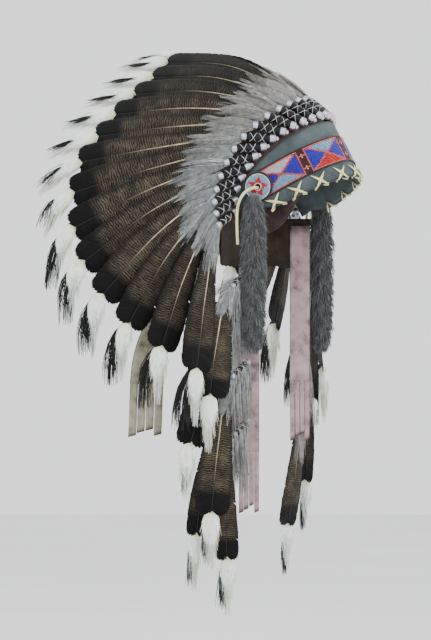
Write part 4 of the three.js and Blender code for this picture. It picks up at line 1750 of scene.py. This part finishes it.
@dataclass
class SuedePieces:
    """Soft suede behind one ear: the flap, the strap with its fringe, and the pale drop."""

    side: Side
    strap_length: float
    flap_front: float = 2.0
    flap_back: float = 58.0
    flap_heights: tuple = (-10.0, -22.0, -42.0, -75.0)
    strap_x: float = -76.6
    strap_front: float = -1.0
    strap_width: float = 28.0
    strap_top: float = -19.0
    strap_slit: float = 76.0
    drop_route: tuple = ((-62, 70, -50), (-96, 104, -110), (-119, 127, -176), (-122, 135, -282))
    drop_slit: float = 66.0
    drop_width: float = 42.0
    fringe: int = 4
    thick: float = 1.7

    def flap(self) -> tuple[Skin, float]:
        """The flap over the cap's side, hanging straight below its rim.

        Returns:
            The skin, and its flat area in square millimetres.
        """
        depth = np.linspace(self.flap_front, self.flap_back, 25)[:, None]
        share = np.linspace(0, 1, 17)[None, :]
        low = self.flap_heights[-1] + 6 * (depth - self.flap_front) / 56
        low = low + 0.8 * np.sin(depth * 0.9) + 0.5 * np.sin(depth * 2.3)
        height = self.flap_heights[0] + (low - self.flap_heights[0]) * share
        level = np.maximum(height, -depth * np.tan(RING_TILT))
        forward = -depth * np.cos(RING_TILT) + level * np.sin(RING_TILT)
        half = CAP_HALF_WIDTH * np.sqrt(1 - (forward / CAP_HALF_DEPTH) ** 2) + 0.5
        wave = 0.35 * np.sin(depth * 0.35) * share**2
        inner = np.stack(np.broadcast_arrays(-half - wave, depth, height), -1)
        outer = inner - [self.thick, 0, 0]
        skin = closed_sheet(inner, outer)
        return skin, float(np.sum(np.linalg.norm(np.cross(np.diff(outer, axis=0)[:, :-1],
                                                          np.diff(outer, axis=1)[:-1]), axis=-1)))

    def strips(self, width: float, length: float, slit: float, place: Placer,
               ragged: float) -> list[Skin]:
        """A sheet whose lower end is cut into strips.

        Args:
            width: Width of the sheet.
            length: Its length.
            slit: Length of the cuts.
            place: Gives points from across, down and through.
            ragged: How unequal the strips are.

        Returns:
            The upper sheet and the strips.
        """
        chance = np.random.default_rng(int(length))
        skins = []
        u, v = np.linspace(-0.5, 0.5, 9)[None, :], np.linspace(0, 1, 31)[:, None]
        down = (length - slit + 0.5) * v
        bow = 0.5 * np.sin(7 * v) * np.cos(5 * u)
        upper = sheet_between(place, width * u, down, bow, self.thick)
        upper.uv = upper.uv * [0.5, 1.0]
        skins.append(upper)
        pitch = width / self.fringe
        for i in range(self.fringe):
            short = ragged * ((i * 2) % 3) + chance.uniform(0, 2)
            t = np.linspace(0, 1, 15)[:, None]
            s = np.linspace(-0.5, 0.5, 4)[None, :]
            middle = -width / 2 + (i + 0.5) * pitch
            narrow = (pitch - 0.5) * (1 - 0.03 * t)
            swing = chance.normal(0, 0.25) * t**2
            strip = sheet_between(
                place, middle + narrow * s + swing,
                length - slit + (slit - short) * t + 2.5 * s * t,
                0.5 * np.sin(7) + chance.normal(0, 0.7) * t + 0.35 * np.cos(6 * s), self.thick)
            strip.uv = strip.uv * [0.5, 1.0] + [0.5, 0.0]
            skins.append(strip)
        return skins

    def strap_place(self, across: Array, down: Array,
                    through: Array) -> Array:
        """Points of the strap, which hangs straight and faces sideways.

        Args:
            across: Distance from the strap's middle line.
            down: Distance below its top.
            through: Distance out of its face.

        Returns:
            Points.
        """
        y = self.strap_front + self.strap_width / 2 + across
        return np.stack(np.broadcast_arrays(self.strap_x - 0.4 * through, y,
                                            self.strap_top - down), -1)

    def drop_place(self, across: Array, down: Array,
                   through: Array) -> Array:
        """Points of the pale drop, which bends out and then hangs straight.

        Args:
            across: Distance from the drop's middle line.
            down: Distance along it from its top.
            through: Distance out of its face.

        Returns:
            Points.
        """
        spine = Spine(np.array(self.drop_route, float))
        share = down / spine.length
        side = unit(np.cross(TRAILER_FACE, np.array([0.0, 0.0, 1.0])))
        narrow = 13 + 8 * np.clip(2 * share, 0, 1)
        out = unit(np.cross(spine.tangent(share), side))
        return (spine.at(share) + (across / 21 * narrow)[..., None] * side
                + (0.7 * through)[..., None] * out)

    def build(self, shop: Workshop) -> None:
        """Makes the flap, strap and drop.

        Args:
            shop: Makes the pieces.
        """
        name, flip = self.side.value, self.side.flip
        skin, area = self.flap()
        flap = shop.dress(f"ear_flap_{name}", skin, [BROWN], "brown_suede", flip)
        skin = joined(self.strips(self.strap_width, self.strap_length, self.strap_slit,
                                  self.strap_place, 4.0))
        strap = shop.dress(f"trailer_strap_{name}", skin, [MAUVE], "mauve_suede", flip)
        length = Spine(np.array(self.drop_route, float)).length
        skin = joined(self.strips(self.drop_width, length, self.drop_slit, self.drop_place, 3.0))
        drop = shop.dress(f"back_drop_{name}", skin, [TAUPE], "taupe_suede", flip)


def sheet_between(place: Placer, across: Array, down: Array, through: Array,
                  thick: float) -> Skin:
    """A closed sheet whose two faces lie half its thickness either side of a surface.

    Args:
        place: Gives points from across, down and through.
        across: Grid of distances from the middle line.
        down: Grid of distances from the top.
        through: Grid of distances out of the face.
        thick: Thickness.

    Returns:
        One closed skin.
    """
    across, down, through = np.broadcast_arrays(across, down, through)
    top = place(across, down, through + thick / 1.4 / 2)
    bottom = place(across, down, through - thick / 1.4 / 2)
    return closed_sheet(bottom, top)


@dataclass
class FurDrop:
    """Grey fur drop in front of one ear."""

    side: Side
    top: float = 18.0
    length: float = 197.0
    x: float = -101.5
    y: float = -5.0
    widths: tuple = (9, 21, 30, 33, 31, 29, 21, 9)
    thicks: tuple = (6, 13, 17, 18, 18, 15, 10, 5)
    places: tuple = (0, 0.05, 0.16, 0.4, 0.66, 0.88, 0.97, 1)
    hairs: int = 3300
    seed: int = 61
    # The core is darker than the hairs: painted shade in the gaps between them.
    core_color: tuple = (62, 64, 65)
    hair_color: tuple = (92, 95, 96)

    def skin(self) -> Skin:
        """Fur: a core of about seven tenths of the size, and hairs that lie down over it.

        Formula: a hair leaves the core at a height share and an angle, bends out to the full
        size, and ends 5 to 15 mm lower and a little to one side, nearer its clump.

        Returns:
            The hairs and the core as one skin.
        """
        chance = np.random.default_rng(self.seed + self.side.flip)
        share = np.linspace(0.0, 1.0, 26)
        wave = 1 + 0.05 * np.sin(share * 40) + chance.normal(0, 0.03, 26)
        full = np.interp(share, self.places, self.widths)
        width = 0.36 * full * wave
        thick = np.interp(share, self.places, self.thicks) / full
        angle = 2 * np.pi * (np.arange(14) + 0.5) / 14
        line = np.stack([np.full(26, self.x), np.full(26, self.y),
                         self.top - 3 - (self.length - 8) * share], -1)
        rings = line[:, None] + width[:, None, None] * (
            np.cos(angle)[None, :, None] * np.array([0, 1.0, 0])
            + (thick[:, None] * np.sin(angle)[None])[..., None] * np.array([1.0, 0, 0]))
        core = tubes(rings[None], (0.1, 0), tint_of(self.core_color, 1, chance, 0)[0])
        count = self.hairs
        at, turn = chance.uniform(-0.01, 0.97, count), chance.uniform(0, 2 * np.pi, count)
        fall = chance.uniform(5, 15, count)
        below = np.clip(at + fall / self.length, 0, 1)

        def shell(where: Array, size: Array) -> Array:
            """Points on the drop's outline at height shares, scaled by size.

            Args:
                where: Height shares.
                size: Shares of the full size.

            Returns:
                A point for each hair.
            """
            half = 0.5 * np.interp(where, self.places, self.widths) * size
            deep = 0.5 * np.interp(where, self.places, self.thicks) * size
            return np.stack([self.x + deep * np.sin(turn), self.y + half * np.cos(turn),
                             self.top - self.length * where], -1)

        clump = 0.07 * np.sin(turn * 4 + at * 46) + 0.05 * np.sin(turn * 3 - at * 80)
        size = chance.uniform(0.88, 1.12, count) + clump
        tint = tint_of(self.hair_color, count, chance, 0.55)
        # Painted light and shade: hairs that stand out further in a clump are lighter, and those
        # that lie deeper are darker.
        tint[:, :3] *= (1 + 4.5 * clump)[:, None]
        sway = chance.normal(0, 1.5, (count, 3))
        hairs = strands(shell(np.clip(at, 0, 1), np.full(count, 0.7)),
                        shell((np.clip(at, 0, 1) + below) / 2, size + 0.05) + 0.3 * sway,
                        shell(below, size) + sway, 0.58, tint, 3, 0.2)
        return joined([hairs, core])

    def build(self, shop: Workshop) -> None:
        """Makes the drop."""
        shop.dress(f"fur_drop_{self.side.value}", self.skin(), [FUR], "grey_fur", self.side.flip)


@dataclass
class Thong:
    """Cream hide thong that hangs free from the middle of a rosette."""

    side: Side
    diameter: float = 3.6
    route: tuple = (
        (-92.0, -5.9, 26.2), (-94.6, -5.3, 26.6), (-97.4, -3.9, 26.5), (-100.0, -1.5, 25.6),
        (-102.2, 1.9, 23.8), (-103.8, 5.7, 20.8), (-104.8, 9.3, 16.4), (-105.2, 12.3, 11.0),
        (-105.3, 14.4, 5.0), (-105.2, 15.7, -1.4), (-104.9, 16.3, -8.0), (-104.6, 16.5, -14.8),
        (-104.3, 16.5, -21.8), (-104.1, 16.3, -29.0), (-104.0, 16.0, -36.4), (-104.0, 15.7, -44.0))

    def build(self, shop: Workshop) -> None:
        """Args:
            shop: Makes the piece.
        """
        spine = Spine(np.array(self.route, float))
        line = spine.at(np.linspace(0, 1, 46))
        rings = round_rings(line[None], self.diameter / 2, 10)
        piece = shop.dress(f"thong_{self.side.value}", tubes(rings, (0.5, 0.5)), [LACE],
                           "cream_hide", self.side.flip)


# ---------------------------------------------------------------- camera, light and floor


@dataclass
class Studio:
    """Camera at the wearer's right, soft light, and a plain pale floor, in metres."""

    target: tuple = (-0.0362, 0.0776, -0.1375)
    distance: float = 10.0
    azimuth: float = -65.0
    lens: float = 450.0
    floor_z: float = -0.60
    floor_radius: float = 9.0
    room: tuple = (238, 239, 242)
    room_strength: float = 1.75
    lamps: tuple = (("key", (-1.6, -2.2, 1.6), 1.4, 52.0), ("fill", (1.8, -1.6, 0.9), 1.8, 8.0),
                    ("rim", (-0.6, 2.4, 1.4), 1.4, 26.0))
    lamp_target: tuple = (0.0, 0.0, -0.1)

    def camera(self) -> None:
        """Places the camera level with the middle of the view."""
        turn = np.radians(self.azimuth)
        forward = np.array([-np.sin(turn), np.cos(turn), 0.0])
        data = bpy.data.cameras.new("view")
        data.lens = self.lens
        data.sensor_width = 36.0
        data.clip_end = 50
        camera = bpy.data.objects.new("view", data)
        camera.location = np.array(self.target) - self.distance * forward
        camera.rotation_euler = (np.radians(90.0), 0.0, turn)
        bpy.context.collection.objects.link(camera)
        bpy.context.scene.camera = camera

    def light(self) -> None:
        """Soft light from a pale room, with a large lamp ahead on each side and one behind."""
        world = bpy.data.worlds.new("room")
        world.use_nodes = True
        back = world.node_tree.nodes["Background"]
        back.inputs["Color"].default_value = linear(self.room)
        back.inputs["Strength"].default_value = self.room_strength
        bpy.context.scene.world = world
        for name, place, size, power in self.lamps:
            data = bpy.data.lights.new(name, "AREA")
            data.energy = power
            data.size = size
            lamp = bpy.data.objects.new(name, data)
            lamp.location = place
            way = np.array(self.lamp_target) - np.array(place)
            lamp.rotation_euler = (np.arctan2(np.hypot(way[0], way[1]), -way[2]), 0.0,
                                   np.arctan2(way[1], way[0]) - np.pi / 2)
            bpy.context.collection.objects.link(lamp)

    def floor(self, shop: Workshop) -> None:
        """Lays the floor below the lowest tip.

        Args:
            shop: Makes the floor's finish.
        """
        angle = 2 * np.pi * np.arange(64) / 64
        mesh = bpy.data.meshes.new("floor")
        rim = self.floor_radius * np.stack([np.cos(angle), np.sin(angle)], -1)
        mesh.from_pydata([(x, y, self.floor_z) for x, y in rim], [], [tuple(range(len(rim)))])
        mesh.materials.append(shop.material(FloorFinish()))
        floor = bpy.data.objects.new("floor", mesh)
        bpy.context.collection.objects.link(floor)


def main() -> None:
    """Builds the headdress piece by piece."""
    logging.basicConfig(level=logging.INFO, format="%(name)s %(message)s")
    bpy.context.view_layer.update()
    shop = Workshop()
    studio = Studio()
    studio.camera()
    for side in Side:
        Thong(side).build(shop)
    studio.light()
    studio.floor(shop)
    BrowBand().build(shop)
    BeadStrip().build(shop)
    SkullCap().build(shop)
    for side, strap in ((Side.RIGHT, 358.0), (Side.LEFT, 270.0)):
        Rosette(side).build(shop)
        FurDrop(side).build(shop)
        SuedePieces(side, strap).build(shop)
    FeatherFan().build(shop)
    Trailers().build(shop)


if __name__ == "__main__":
    main()
